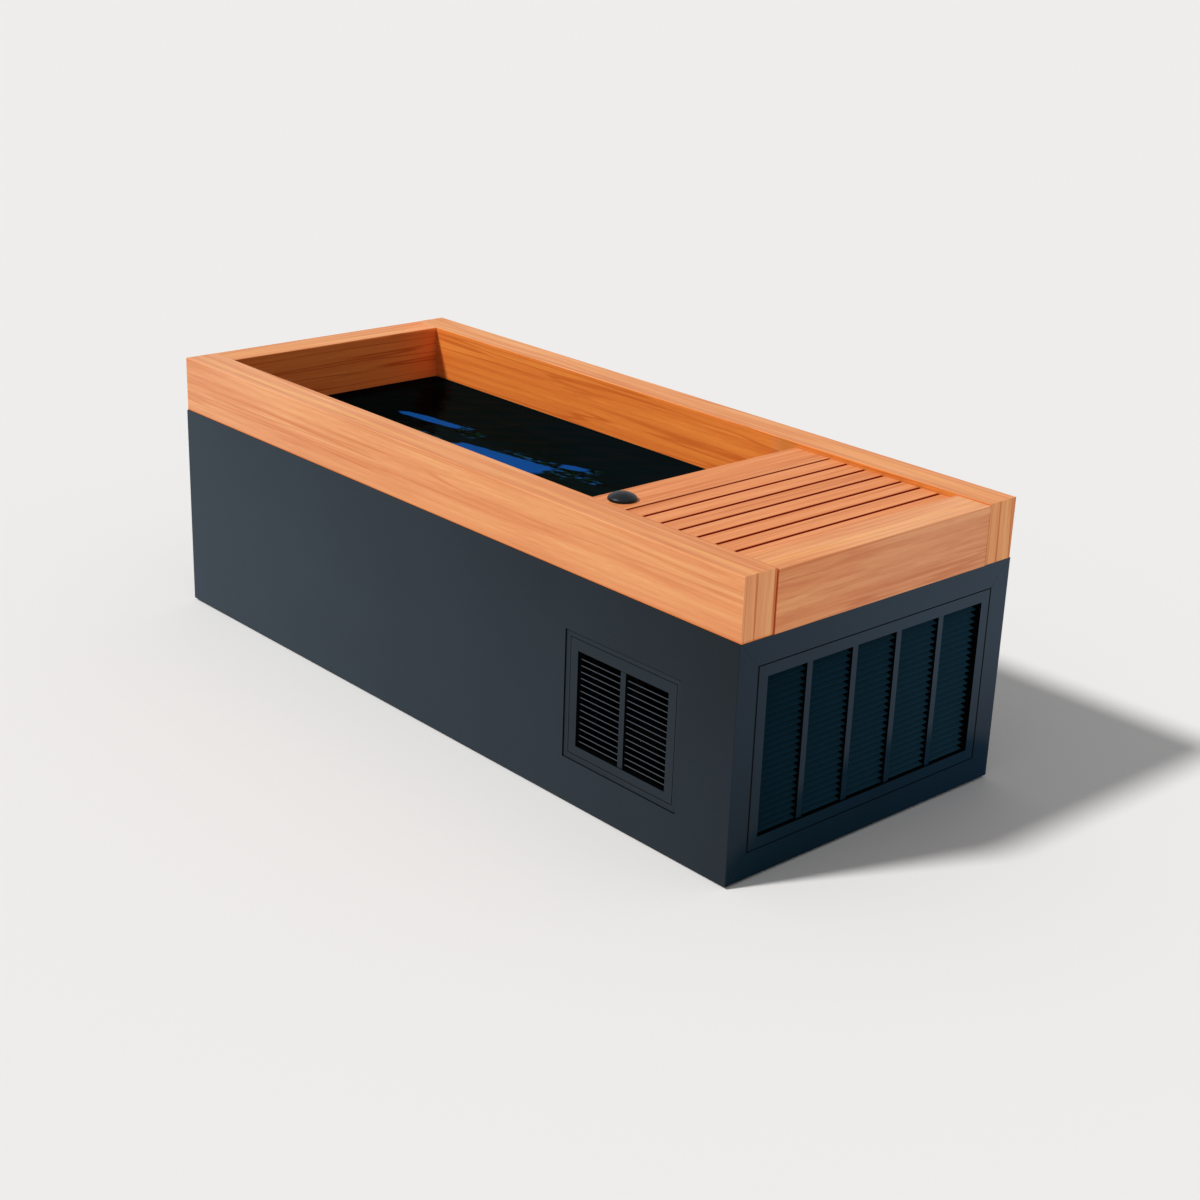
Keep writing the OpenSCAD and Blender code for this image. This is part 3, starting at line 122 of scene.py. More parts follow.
def ramp(tree, value, stops):
    """A colour ramp from (place, colour) stops."""
    node = put(tree, "ValToRGB", {0: value})
    elements = node.color_ramp.elements
    while len(elements) < len(stops):
        elements.new(0.5)
    for element, (place, colour) in zip(elements, stops):
        element.position = place
        element.color = colour
    return node.outputs[0]


def span(tree, value, low, high, to_low=0.0, to_high=1.0, smooth=True):
    """The value moved from one span to another, held at its ends."""
    return put(tree, "MapRange", {0: value, 1: low, 2: high, 3: to_low, 4: to_high},
               interpolation_type="SMOOTHSTEP" if smooth else "LINEAR", clamp=True).outputs[0]


def mix_colour(tree, share, first, second, blend="MIX"):
    """Two colours mixed by a share."""
    return put(tree, "Mix", {0: share, 6: first, 7: second}, data_type="RGBA", blend_type=blend).outputs[2]


def tinted(tree, colour, share, factors):
    """A colour multiplied by linear factors where the share is 1."""
    return mix_colour(tree, share, colour, mix_colour(tree, 1.0, colour, tuple(factors) + (1,), "MULTIPLY"))


def deepened(tree, colour, depth):
    """A colour multiplied by one value in all its channels."""
    grey = put(tree, "CombineColor", {0: depth, 1: depth, 2: depth}).outputs[0]
    return mix_colour(tree, 1.0, colour, grey, "MULTIPLY")


def scaled(tree, vector, factors):
    """A place stretched along each axis."""
    return put(tree, "VectorMath", {0: vector, 1: factors}, operation="MULTIPLY").outputs[0]


def noise(tree, vector, factors, detail=2.0, roughness=0.5, distortion=0.0):
    """Cloudy noise from 0 to 1 at a place stretched along each axis."""
    return put(tree, "TexNoise", {"Vector": scaled(tree, vector, factors), "Scale": 1.0, "Detail": detail,
                                  "Roughness": roughness, "Distortion": distortion}).outputs[0]


def facing(tree, normal, axis, sign):
    """How far a face looks along an axis: 1 on faces that look that way, 0 on the others."""
    return span(tree, math_node(tree, "MULTIPLY", split(tree, normal)[AXES[axis]], float(sign)), 0.6, 0.75)


def from_arris(tree, parts, box):
    """The distance to the nearest edge of a box, at a place given by its parts."""
    low, high = box
    gaps = [less(tree, (high[i] - low[i]) / 2, apart(tree, parts[i], (low[i] + high[i]) / 2))
            for i in range(3)]
    return least(tree, *(most(tree, gaps[i], gaps[j]) for i, j in ((0, 1), (1, 2), (2, 0))))


def new_group(name, inputs, outputs):
    """An empty node group with named inputs (name, kind, default) and outputs, which are single values."""
    tree = bpy.data.node_groups.new(name, "ShaderNodeTree")
    for label, kind, default in inputs:
        socket = tree.interface.new_socket(label, in_out="INPUT", socket_type="NodeSocket" + kind)
        socket.default_value = default
    for label in outputs:
        tree.interface.new_socket(label, in_out="OUTPUT", socket_type="NodeSocketFloat")
    return tree, tree.nodes.new("NodeGroupInput").outputs, tree.nodes.new("NodeGroupOutput").inputs


def new_material(name):
    """A material with its Principled shader and output, and the place and facing on the object."""
    material = bpy.data.materials.new(name)
    material.use_nodes = True
    tree = material.node_tree
    tree.nodes.clear()
    shader = put(tree, "BsdfPrincipled")
    put(tree, "OutputMaterial", {0: shader.outputs[0]})
    coordinates = put(tree, "TexCoord").outputs
    return material, tree, shader, coordinates["Object"], coordinates["Normal"]


def set_shader(tree, shader, **values):
    """Sets or links sockets of the Principled shader, with spaces written as underscores."""
    fill(tree, shader.inputs, {name.replace("_", " "): value for name, value in values.items()})


def bump(tree, shader, height, distance, strength=0.5):
    """Relief of a height in metres."""
    node = put(tree, "Bump", {"Strength": strength, "Distance": distance, "Height": height})
    set_shader(tree, shader, Normal=node.outputs[0])


def dress(material, *names):
    """Gives CAD nodes a material."""
    for name in names:
        mesh = nodes[name].data
        mesh.materials.clear()
        mesh.materials.append(material)


# Shared effects

def make_wood_figure():
    """Softwood sawn along the trunk, as noise drawn out along the grain and bent by a slow sway across it.
    Place holds metres along the grain, across it and through the board. Broad and Streak are wide and narrow
    bands of early and late wood, Line the dark growth lines, which Cover spreads over more of the board,
    Fibre the pores, and Fleck the short marks."""
    tree, given, out = new_group(
        "wood figure", [("Place", "Vector", (0, 0, 0)), ("Seed", "Float", 0.0), ("Cover", "Float", 0.5)],
        ["Broad", "Streak", "Line", "Fibre", "Fleck", "Height"])
    steps = (3.17, 0.73, 1.39)
    seed = put(tree, "CombineXYZ", {i: product(tree, given["Seed"], step) for i, step in enumerate(steps)})
    place = put(tree, "VectorMath", {0: given["Place"], 1: seed.outputs[0]}, operation="ADD").outputs[0]
    slow = noise(tree, place, (1.4, 3.5, 3.5), detail=1.0)
    lean = put(tree, "CombineXYZ", {1: product(tree, less(tree, slow, 0.5), 0.035)}).outputs[0]
    swayed = put(tree, "VectorMath", {0: place, 1: lean}, operation="ADD").outputs[0]
    broad = noise(tree, swayed, (1.2, 27.0, 27.0))
    streak = noise(tree, swayed, (2.3, 100.0, 100.0), detail=3.0, roughness=0.55)
    broad, streak = (span(tree, value, 0.3, 0.7, smooth=False) for value in (broad, streak))
    near = apart(tree, noise(tree, swayed, (0.7, 48.0, 48.0), detail=1.0), 0.5)
    spread = total(tree, noise(tree, place, (1.0, 14.0, 14.0), detail=1.0), given["Cover"])
    line = product(tree, span(tree, near, 0.004, 0.055, 1.0, 0.0), span(tree, spread, 0.88, 1.12))
    fibre = noise(tree, swayed, (14.0, 620.0, 620.0), detail=3.0, roughness=0.65)
    fleck = noise(tree, swayed, (60.0, 700.0, 700.0), roughness=0.6)
    height = total(tree, product(tree, fibre, 0.7), product(tree, streak, 0.25), product(tree, line, -0.3))
    fill(tree, out, {"Broad": broad, "Streak": streak, "Line": line, "Fibre": fibre, "Fleck": fleck,
                     "Height": height})
    return tree


def make_paint_skin():
    """Sprayed paint: the fine orange peel of the coat, and slow cloudy change in its gloss."""
    tree, given, out = new_group("paint skin", [("Place", "Vector", (0, 0, 0))], ["Peel", "Cloud", "Speck"])
    fill(tree, out, {"Peel": noise(tree, given[0], (420.0,) * 3, roughness=0.45),
                     "Cloud": noise(tree, given[0], (3.1,) * 3, detail=3.0, roughness=0.55),
                     "Speck": noise(tree, given[0], (1700.0,) * 3, detail=1.0)})
    return tree


wood_figure = make_wood_figure()
paint_skin = make_paint_skin()


# Wood

CEDAR = {"deep": shade(196, 108, 62), "late": shade(218, 138, 90), "plain": shade(231, 157, 105),
         "pale": shade(244, 180, 122)}
DECK = {"deep": shade(176, 90, 48), "late": shade(211, 123, 74), "plain": shade(229, 146, 94),
        "pale": shade(242, 166, 113)}
BOARD = {"deep": shade(30, 19, 14), "late": shade(40, 26, 18), "plain": shade(52, 34, 24),
         "pale": shade(62, 42, 30)}
TOP_STREAK = shade(246, 184, 108)
ROSE_MARK = shade(214, 130, 88)

# How far each board of a row lies from the next one in the figure
BOARD_STEP = 5.3

# Distances over which painted details fade: beside a slot with painted shade, at an arris with a painted
# highlight, beside a streak, and at a joint deepened by painted shade
SLOT_FADE = (0.0018, 0.0036)
ARRIS_FADE = (0.0006, 0.0026)
STREAK_FADE = (0.001, 0.0075)
JOINT_FADE = (0.0035, 0.0005)
SLOT_EDGE_SHADE = (0.56, 0.18, 0.05)


def wood_material(name, order, seed, tones=CEDAR, broad=(0.36, 0.5), line=(0.35, 0.5), contrast=1.0,
                  cover=0.5, flecks=0.15, board=None, top_streak=None, faces=(), turn=None, drifts=(),
                  marks=None, seams=None, slots=None, edges=None):
    """Oiled softwood. order names the axes along the grain, across it and through the board.
    broad and line weigh wide bands and thin lines on level and on upright faces.
    board = (axis, start, pitch) gives each of a row of boards its own figure.
    top_streak = (axis, place) is a long pale streak on the top.
    faces lists (axis, sign, factors, line) for faces whose colour the factors multiply as painted light and
    painted shade: the light on that side, glow bounced onto inner faces and shade in the slots; line weighs
    their growth lines. Their factors turn = (axis, start, end, factors) replaces further along.
    drifts lists (axis, start, end, factors) for slow changes of tone: painted sheen, painted shade and
    painted glow, and a browner line at a foot.
    marks is an axis whose face has short rosy marks.
    seams = (axis, half length, front depth, back depth) are the dark joints at its ends, deepened by painted
    shade.
    slots = (axis, start, pitch, width) darkens the arrises of boards beside the slots between them, as
    painted shade.
    edges is the node whose arrises are painted paler: a painted highlight, which also reads as rubbed wear."""
    material, tree, shader, place, normal = new_material(name)
    parts = split(tree, place)
    grain, across, through = (parts[AXES[axis]] for axis in order)
    level = facing(tree, normal, "z", 1)
    cut = most(tree, facing(tree, normal, order[0], 1), facing(tree, normal, order[0], -1))
    lined = put(tree, "CombineXYZ", {0: grain, 1: across, 2: through}).outputs[0]
    end_up = put(tree, "CombineXYZ", {0: parts[2], 1: across, 2: grain}).outputs[0]
    lined = put(tree, "Mix", {0: cut, 4: lined, 5: end_up}, data_type="VECTOR").outputs[1]
    number = float(seed)
    if board:
        axis, start, pitch = board
        past = less(tree, parts[AXES[axis]], start)
        count = math_node(tree, "FLOOR", math_node(tree, "DIVIDE", past, pitch))
        number = total(tree, product(tree, count, BOARD_STEP), number)
    figure = put(tree, "Group", {"Place": lined, "Seed": number, "Cover": cover},
                 node_tree=wood_figure).outputs
    wide = span(tree, level, 0.0, 1.0, broad[1], broad[0], smooth=False)
    narrow = less(tree, 0.85, wide)
    tone = total(tree, product(tree, figure["Broad"], wide), product(tree, figure["Streak"], narrow),
                 product(tree, figure["Fibre"], 0.15))
    tone = total(tree, product(tree, less(tree, tone, 0.5), contrast), 0.5)
    colour = ramp(tree, tone, [(0.08, tones["late"]), (0.5, tones["plain"]), (0.95, tones["pale"])])
    dark = span(tree, level, 0.0, 1.0, line[1], line[0], smooth=False)
    dark = most(tree, dark, product(tree, cut, 0.9))
    for axis, sign, factors, amount in faces:
        dark = most(tree, dark, product(tree, facing(tree, normal, axis, sign), amount))
    colour = mix_colour(tree, product(tree, figure["Line"], dark), colour, tones["deep"])
    if top_streak:
        axis, at = top_streak
        off = apart(tree, parts[AXES[axis]], at)
        patchy = noise(tree, lined, (1.7, 12.0, 12.0), detail=1.0)
        share = product(tree, span(tree, off, *STREAK_FADE, 0.6, 0.0), span(tree, patchy, 0.38, 0.6), level)
        colour = mix_colour(tree, share, colour, TOP_STREAK)
    if marks:
        short = noise(tree, lined, (6.0, 80.0, 80.0))
        share = product(tree, span(tree, short, 0.5, 0.68, 0.0, 0.5), facing(tree, normal, marks, 1))
        colour = mix_colour(tree, share, colour, ROSE_MARK)
    colour = mix_colour(tree, span(tree, figure["Fleck"], 0.56, 0.72, 0.0, flecks), colour, tones["late"])
    colour = deepened(tree, colour, span(tree, figure["Fibre"], 0.3, 0.7, 0.93, 1.05, smooth=False))
    # Slow changes of tone, mostly painted sheen, painted shade and painted glow
    for axis, start, end, factors in drifts:
        colour = tinted(tree, colour, span(tree, parts[AXES[axis]], start, end), factors)
    # Painted light and painted shade on the listed faces, replaced further along by turn
    for axis, sign, factors, amount in faces:
        share = facing(tree, normal, axis, sign)
        if turn:
            turned = span(tree, parts[AXES[turn[0]]], turn[1], turn[2])
            colour = tinted(tree, colour, product(tree, share, turned), turn[3])
            share = product(tree, share, less(tree, 1.0, turned))
        colour = tinted(tree, colour, share, factors)
    # Painted shade on the arrises beside the slots
    if slots:
        axis, start, pitch, width = slots
        past = math_node(tree, "FLOORED_MODULO", less(tree, parts[AXES[axis]], start), pitch)
        off = least(tree, past, apart(tree, width, past))
        colour = tinted(tree, colour, span(tree, off, *SLOT_FADE, 1.0, 0.0), SLOT_EDGE_SHADE)
    # Painted highlight on the arrises, which also reads as rubbed wear
    if edges:
        arris_highlight = product(tree, span(tree, from_arris(tree, parts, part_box(edges)), *ARRIS_FADE, 0.15, 0.0),
                         span(tree, figure["Broad"], 0.1, 0.9, 0.6, 1))
        colour = mix_colour(tree, arris_highlight, colour, tones["pale"])
    # Dark joints at the ends, deepened by painted shade
    if seams:
        axis, half, front, back = seams
        for sign, amount in ((-1.0, front), (1.0, back)):
            along = product(tree, parts[AXES[axis]], sign)
            share = span(tree, along, half - JOINT_FADE[0], half - JOINT_FADE[1], 0.0, amount)
            colour = mix_colour(tree, share, colour, tones["deep"], "MULTIPLY")
    set_shader(tree, shader, Base_Color=colour, Specular_IOR_Level=0.06,
               Roughness=span(tree, figure["Streak"], 0.0, 1.0, 0.56, 0.44))
    bump(tree, shader, figure["Height"], 0.00015)
    return material


# Changes of tone along the rails: a painted sheen, pinker towards the far end, and painted shade, deeper
# towards the machine end; and a browner line along the foot of the front rail
rail_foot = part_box("front_rail")[0][2]
PINKER_SHEEN = ("x", 0.4, -1.0, (1.0, 1.04, 1.2))
DEEPER_SHADE = ("x", 0.0, 0.7, (0.96, 0.93, 0.93))
HEM = ("z", rail_foot + 0.0055, rail_foot + 0.001, (0.93, 0.68, 0.42))

# The deck's slats. Each has its own figure, which starts in the slot before it
SLAT_PITCH = 0.0538
SLAT_WIDTH = 0.0488
SLAT_LEAD = 0.002
# Painted shade on the sides of the slats across the slots, and on one side of the cross rail and the first
# board
SLOT_SIDE_SHADE = (0.5, 0.2, 0.1)
SLOT_FACES = [("x", 1, SLOT_SIDE_SHADE, 0.0), ("x", -1, SLOT_SIDE_SHADE, 0.0)]
first_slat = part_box("hatch_slats")[0][0]
near_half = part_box("near_end_rail")[1][1]

# Painted light on the front rail: a lighter, bluer end face, a painted sheen pinker towards the far end, and
# painted shade towards the machine end
dress(wood_material("cedar front rail", "xyz", 1, top_streak=("y", -0.388), drifts=[PINKER_SHEEN, DEEPER_SHADE, HEM],
                    broad=(0.26, 0.5), line=(0.38, 0.45), contrast=1.05, cover=0.54,
                    faces=[("y", -1, (0.99, 0.99, 0.99), 0.45), ("x", 1, (1.07, 1.12, 1.18), 0.9)],
                    edges="front_rail"), "front_rail")
# Painted light on the back rail: its inner face is tinted orange for bounced glow, and deeper above the deck
# at the machine end as painted shade
dress(wood_material("cedar back rail", "xyz", 2, top_streak=("y", 0.383), broad=(0.3, 0.42), contrast=1.1,
                    cover=0.64, faces=[("y", -1, (1.08, 0.71, 0.3), 0.6)],
                    turn=("x", 0.36, 0.42, (0.87, 0.65, 0.32)), edges="back_rail"), "back_rail")
# Painted light on the far end rail: its inner face is tinted for shade and bounced glow, and it grows redder
# near the back rail as painted glow
dress(wood_material("cedar far end rail", "yxz", 3, top_streak=("x", -0.975), cover=0.6,
                    faces=[("x", 1, (1.16, 0.78, 0.42), 0.8)],
                    drifts=[("y", 0.16, 0.33, (1.12, 0.98, 0.96))], edges="far_end_rail"), "far_end_rail")
# Painted light on the machine end rail: its outer face a little deeper, and paler and bluer towards the back
# as a painted sheen
dress(wood_material("cedar machine end rail", "yxz", 4, top_streak=("x", 0.987), marks="x",
                    broad=(0.26, 0.5), faces=[("x", 1, (0.98, 0.93, 0.96), 0.5)],
                    drifts=[("y", -0.3, 0.1, (1.02, 1.1, 1.25))],
                    seams=("y", near_half, 0.9, 0.6), edges="near_end_rail"), "near_end_rail")
dress(wood_material("cedar cross rail", "yxz", 5, faces=SLOT_FACES[:1]), "cross_rail")
dress(wood_material("cedar first board", "yxz", 6, DECK, flecks=0.35, faces=SLOT_FACES[:1]),
      "deck_front_board")
dress(wood_material("cedar hatch slats", "yxz", 7, DECK, flecks=0.35, faces=SLOT_FACES,
                    board=("x", first_slat - SLAT_LEAD, SLAT_PITCH),
                    slots=("x", first_slat, SLAT_PITCH, SLAT_WIDTH)), "hatch_slats")
dress(wood_material("cedar ledgers", "xyz", 8, DECK), "deck_ledgers")
dress(wood_material("cedar battens", "xyz", 9, DECK), "hatch_battens")
dress(wood_material("film faced floor board", "xyz", 10, BOARD, broad=(0.3, 0.3), contrast=0.7),
      "floor_board")


# Metals, paints and plastics

# The case's low and high tones span a painted sheen
CASE_LOW, CASE_HIGH = shade(34, 40, 45), shade(62, 72, 82)
# The black is painted shade in seams and behind louvres; the blade slate is paler as painted light on their
# front edges
PAINTED_SHADE_BLACK, VENT_SLATE, BLADE_SLATE = shade(3, 4, 5), shade(42, 49, 55), shade(70, 77, 84)
# The end's low and high tones span painted light across it, and its blues are painted reflection and shade
# low down
END_LOW, END_HIGH = shade(41, 52, 62), shade(58, 70, 82)
BLUE_LOW, BLUE_HIGH = shade(11, 33, 45), shade(16, 41, 58)
# The louvres' low and high tones span painted light across the end
LOUVRE_LOW, LOUVRE_HIGH = shade(20, 49, 64), shade(34, 69, 87)

# Roughness and reflection of the slate paint that shows in the photograph
SLATE_ROUGH = 0.45
SLATE_SPECULAR = 0.03

# Border round the side vent within which the cut edges of the sheet are black, as painted shade
VENT_BORDER = 0.02

# How deep the louvres' paint stays pale behind their front edges, before it turns to painted shade
BLADE_FADE = (0.0012, 0.0035)

# Distances from the middle line over which the end and its louvres grow paler as painted light, and the
# heights between which the end deepens towards its foot as painted shade
END_SPREAD, LOUVRE_SPREAD = 0.42, 0.34
FOOT_SHADE = (0.48, 0.1)

# The arch of painted shade and painted blue reflection on the machine end: its middle, its top, how fast it
# falls, and its soft edge
ARCH_MIDDLE, ARCH_TOP, ARCH_FALL, ARCH_SOFT = 0.03, 0.19, 0.64, 0.03

# The painted shadow line beside the gap round the end grille: the gap's middle, the distances from it over
# which the line fades, and the weight of distance at the upright sides, where the line is wider
SEAM_MIDDLE = 0.00075
SEAM_FADE = (0.0012, 0.0017)
SEAM_UPRIGHT = 0.6


def toned(colour, factor, lift=0.0):
    """A colour multiplied by a factor and lifted a little."""
    return tuple(min(1.0, channel * factor + lift) for channel in colour[:3]) + (1,)


def paint_shader(tree, shader, place, base, rough, specular):
    """Finishes a painted material from its base colour: fine specks, cloudy gloss and an orange peel."""
    skin = put(tree, "Group", {"Place": place}, node_tree=paint_skin).outputs
    depth = total(tree, span(tree, skin["Cloud"], 0.3, 0.72, 0.96, 1.05),
                  span(tree, skin["Speck"], 0.6, 0.8, 0.0, 0.06))
    set_shader(tree, shader, Base_Color=deepened(tree, base, depth), Specular_IOR_Level=specular,
               Roughness=span(tree, skin["Cloud"], 0.3, 0.72, rough - 0.04, rough + 0.05))
    bump(tree, shader, skin["Peel"], 0.00004)


def painted(name, colour, rough, specular=0.3):
    """Sprayed steel of one colour."""
    material, tree, shader, place, _ = new_material(name)
    cloud = noise(tree, place, (9.0,) * 3, detail=3.0)
    base = mix_colour(tree, span(tree, cloud, 0.35, 0.68), colour, toned(colour, 1.12, 0.0005))
    paint_shader(tree, shader, place, base, rough, specular)
    return material


def case_paint():
    """Slate paint of the front panel, paler towards the far end and low down as a painted sheen, and black
    on the cut edges round the side vent as painted shade."""
    material, tree, shader, place, normal = new_material("slate painted steel")
    parts = split(tree, place)
    # Painted sheen: paler towards the far end and low down
    weighed = [product(tree, part, weight) for part, weight in zip(parts, (-0.27, 0.2, -0.26))]
    share = total(tree, *weighed, 0.64)
    plain = ramp(tree, share, [(0.15, CASE_LOW), (0.9, CASE_HIGH)])
    # Painted shade: black on the cut edges round the side vent
    low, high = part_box("side_vent_trim")
    inside = [span(tree, parts[i], side[i] + way * VENT_BORDER, side[i] + way * VENT_BORDER / 2)
              for i in (AXES["x"], AXES["z"]) for side, way in ((low, -1), (high, 1))]
    cut = product(tree, *inside, less(tree, 1.0, facing(tree, normal, "y", -1)))
    tone = mix_colour(tree, cut, plain, PAINTED_SHADE_BLACK)
    paint_shader(tree, shader, place, tone, SLATE_ROUGH, SLATE_SPECULAR)
    return material


def vent_paint():
    """Slate paint of the side vent, black on the sides of its seams as painted shade."""
    material, tree, shader, place, normal = new_material("slate side vent paint")
    # Painted shade on the sides of the seams
    tone = mix_colour(tree, facing(tree, normal, "y", -1), PAINTED_SHADE_BLACK, VENT_SLATE)
    paint_shader(tree, shader, place, tone, SLATE_ROUGH, SLATE_SPECULAR)
    return material


def blade_paint():
    """Slate paint of the side vent's louvres, paler than the vent's as painted light on their front edges,
    which fades to black behind them as painted shade.
    """
    material, tree, shader, place, _ = new_material("slate side louvre paint")
    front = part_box("side_louvres")[0][1]
    # Painted light on the front edges, and painted shade behind them
    depth = span(tree, split(tree, place)[1], front + BLADE_FADE[0], front + BLADE_FADE[1])
    tone = mix_colour(tree, depth, BLADE_SLATE, PAINTED_SHADE_BLACK)
    paint_shader(tree, shader, place, tone, SLATE_ROUGH, SLATE_SPECULAR)
    return material


def machine_end_paint():
    """Slate paint of the machine end: paler towards the back as painted light, darker towards its foot, and
    deep blue in the arch low down as painted shade and painted reflection, whose upper edge falls with the
    square of the distance from its middle. The sides of its seams are black as painted shade, and so is a
    thin painted shadow line on both sides of the gap round the grille."""
    material, tree, shader, place, normal = new_material("slate painted end")
    _, across, up = split(tree, place)
    flat = facing(tree, normal, "x", 1)
    # Painted light: paler towards the back
    side = span(tree, across, -END_SPREAD, END_SPREAD, smooth=False)
    tone = ramp(tree, side, [(0.0, END_LOW), (1.0, END_HIGH)])
    # Painted shade towards the foot
    tone = tinted(tree, tone, span(tree, up, *FOOT_SHADE), (0.72, 0.74, 0.76))
    # Painted shade and painted reflection: the blue arch low down
    off = less(tree, across, ARCH_MIDDLE)
    above = less(tree, up, less(tree, ARCH_TOP, product(tree, off, off, ARCH_FALL)))
    blue = product(tree, span(tree, above, -ARCH_SOFT, ARCH_SOFT, 1.0, 0.0), flat)
    tone = mix_colour(tree, blue, tone, ramp(tree, side, [(0.3, BLUE_LOW), (1.0, BLUE_HIGH)]))
    # Painted shade: a thin line beside the gap round the grille, and black on every side but the front
    low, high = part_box("end_grille_frame")
    past_side = less(tree, math_node(tree, "ABSOLUTE", across), high[1])
    past_edge = less(tree, apart(tree, up, (low[2] + high[2]) / 2), (high[2] - low[2]) / 2)
    past = most(tree, product(tree, past_side, SEAM_UPRIGHT), past_edge)
    line = span(tree, apart(tree, past, SEAM_MIDDLE), *SEAM_FADE, 0.85, 0.0)
    tone = mix_colour(tree, flat, PAINTED_SHADE_BLACK, mix_colour(tree, line, tone, PAINTED_SHADE_BLACK))
    paint_shader(tree, shader, place, tone, SLATE_ROUGH, SLATE_SPECULAR)
    return material


def louvre_paint():
    """Deep blue louvre paint, a little paler bay by bay towards the back and paler further in between the
    blades, both as painted light, with its thin front edges kept dark as painted shade."""
    material, tree, shader, place, normal = new_material("deep blue louvre paint")
    depth, across, _ = split(tree, place)
    # Painted light: paler bay by bay towards the back
    side = span(tree, across, -LOUVRE_SPREAD, LOUVRE_SPREAD, smooth=False)
    tone = ramp(tree, side, [(0.0, LOUVRE_LOW), (1.0, LOUVRE_HIGH)])
    low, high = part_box("end_louvres")
    # Painted light against the shade between the blades: paler further in
    tone = tinted(tree, tone, span(tree, depth, high[0], low[0], smooth=False), (1.5,) * 3)
    # Painted shade on the front edges
    tone = tinted(tree, tone, facing(tree, normal, "x", 1), (0.3,) * 3)
    paint_shader(tree, shader, place, tone, 0.5, SLATE_SPECULAR)
    return material


def plain_metal(name, colour, rough, streak=(40.0, 900.0, 900.0)):
    """Bare or plated metal with the fine lines left by drawing or rolling it."""
    material, tree, shader, place, _ = new_material(name)
    lines = noise(tree, place, streak, detail=3.0, roughness=0.6)
    cloud = noise(tree, place, (22.0,) * 3, detail=3.0)
    base = mix_colour(tree, span(tree, cloud, 0.35, 0.7, 0.0, 0.6), colour, toned(colour, 0.72))
    set_shader(tree, shader, Base_Color=base, Metallic=1.0,
               Roughness=span(tree, lines, 0.3, 0.7, rough - 0.07, rough + 0.09))
    bump(tree, shader, lines, 0.00003, 0.4)
    return material


def moulded(name, colour, rough, grain=900.0, depth=0.00005, specular=0.4):
    """Moulded plastic or rubber: a fine spark-eroded grain, and slow clouding of the gloss."""
    material, tree, shader, place, _ = new_material(name)
    fine = noise(tree, place, (grain,) * 3)
    cloud = noise(tree, place, (14.0,) * 3)
    base = mix_colour(tree, span(tree, cloud, 0.35, 0.7), colour, toned(colour, 1.18, 0.001))
    set_shader(tree, shader, Base_Color=base, Specular_IOR_Level=specular,
               Roughness=span(tree, cloud, 0.3, 0.7, rough - 0.04, rough + 0.06))
    bump(tree, shader, fine, depth)
    return material


dress(case_paint(), "front_panel")
dress(painted("slate painted back panels", shade(58, 67, 76), 0.45, 0.05), "back_panel", "far_end_panel",
      "service_niche")
dress(machine_end_paint(), "end_frame_top", "end_frame_bottom", "end_frame_front", "end_frame_back",
      "end_grille_frame")
dress(vent_paint(), "side_vent_trim", "side_grille_frame")
dress(blade_paint(), "side_louvres")
dress(louvre_paint(), "end_louvres")
# The vent boxes are black paint that also stands in as painted shade inside the vents
dress(painted("black vent paint", shade(2, 2, 3), 0.8, 0.02), "side_vent_boxes", "end_vent_boxes")
dress(painted("black frame paint", shade(20, 20, 21), 0.55), "base_long_tubes", "base_cross_tubes",
      "frame_posts", "top_long_tubes", "top_cross_tubes")
dress(painted("basin paint", shade(8, 14, 18), 0.4, 0.2), "tub_liner")
dress(moulded("foot rubber", shade(24, 24, 25), 0.7), "levelling_feet")
dress(plain_metal("zinc plate", shade(150, 152, 154), 0.36), "grille_catches", "rail_screws", "hatch_screws",
      "button_spring", "pump_impeller")
dress(painted("bulkhead paint", shade(7, 7, 8), 0.7, 0.05), "bulkhead")
dress(moulded("insulating foam", shade(96, 90, 72), 0.9, 260.0, 0.0006, 0.1), "foam_boards", "floor_foam")
dress(moulded("button black", shade(8, 15, 22), 0.42, 1500.0, 0.00001, 0.22), "button_dome")
dress(moulded("button flange black", shade(12, 13, 15), 0.45), "button_body", "button_nut")
# The machine's parts are kept near black, as painted shade behind the vents
dress(painted("machine black", shade(4, 4, 5), 0.7, 0.02), "compressor", "fan_motor", "pump_casing",
      "pump_motor", "filter_lid")
dress(plain_metal("coil fins", shade(50, 52, 54), 0.5, (30.0, 620.0, 30.0)), "condenser_coil")
dress(moulded("fan black", shade(6, 6, 7), 0.7, specular=0.05), "fan_shroud", "fan_rotor")
dress(moulded("vessel grey", shade(14, 15, 16), 0.6, specular=0.1), "heat_exchanger", "filter_housing",
      "wall_fittings")
dress(moulded("filter pleats", shade(222, 224, 222), 0.8, 500.0, 0.0002, 0.1), "filter_cartridge")
dress(moulded("control box grey", shade(14, 15, 16), 0.6, specular=0.1), "control_box")
dress(moulded("pipe grey", shade(12, 13, 14), 0.6, specular=0.1), "water_pipes")
dress(plain_metal("copper", shade(178, 104, 70), 0.3), "refrigerant_lines")
dress(plain_metal("brass", shade(188, 150, 84), 0.3), "drain_valve")
dress(painted("lever red paint", shade(160, 26, 20), 0.4), "drain_lever")


# Water

# Gap between the water and the basin's walls, radius of its corners, how far the calm along the walls
# reaches in, and how deep the water lies below the basin's edge
WATER_GAP, WATER_CORNER, WATER_SHORE, WATER_DROP = 0.0012, 0.024, 0.05, 0.0016
WATER_COLUMNS, WATER_ROWS = 260, 124

# Waves by height, length, direction and start
WAVES = ((0.0004, 0.17, 0.4, 0.0), (0.0003, 0.11, 1.7, 1.1), (0.00025, 0.075, 2.5, 2.6),
         (0.00018, 0.05, 0.9, 4.1), (0.00012, 0.034, 2.0, 0.6))

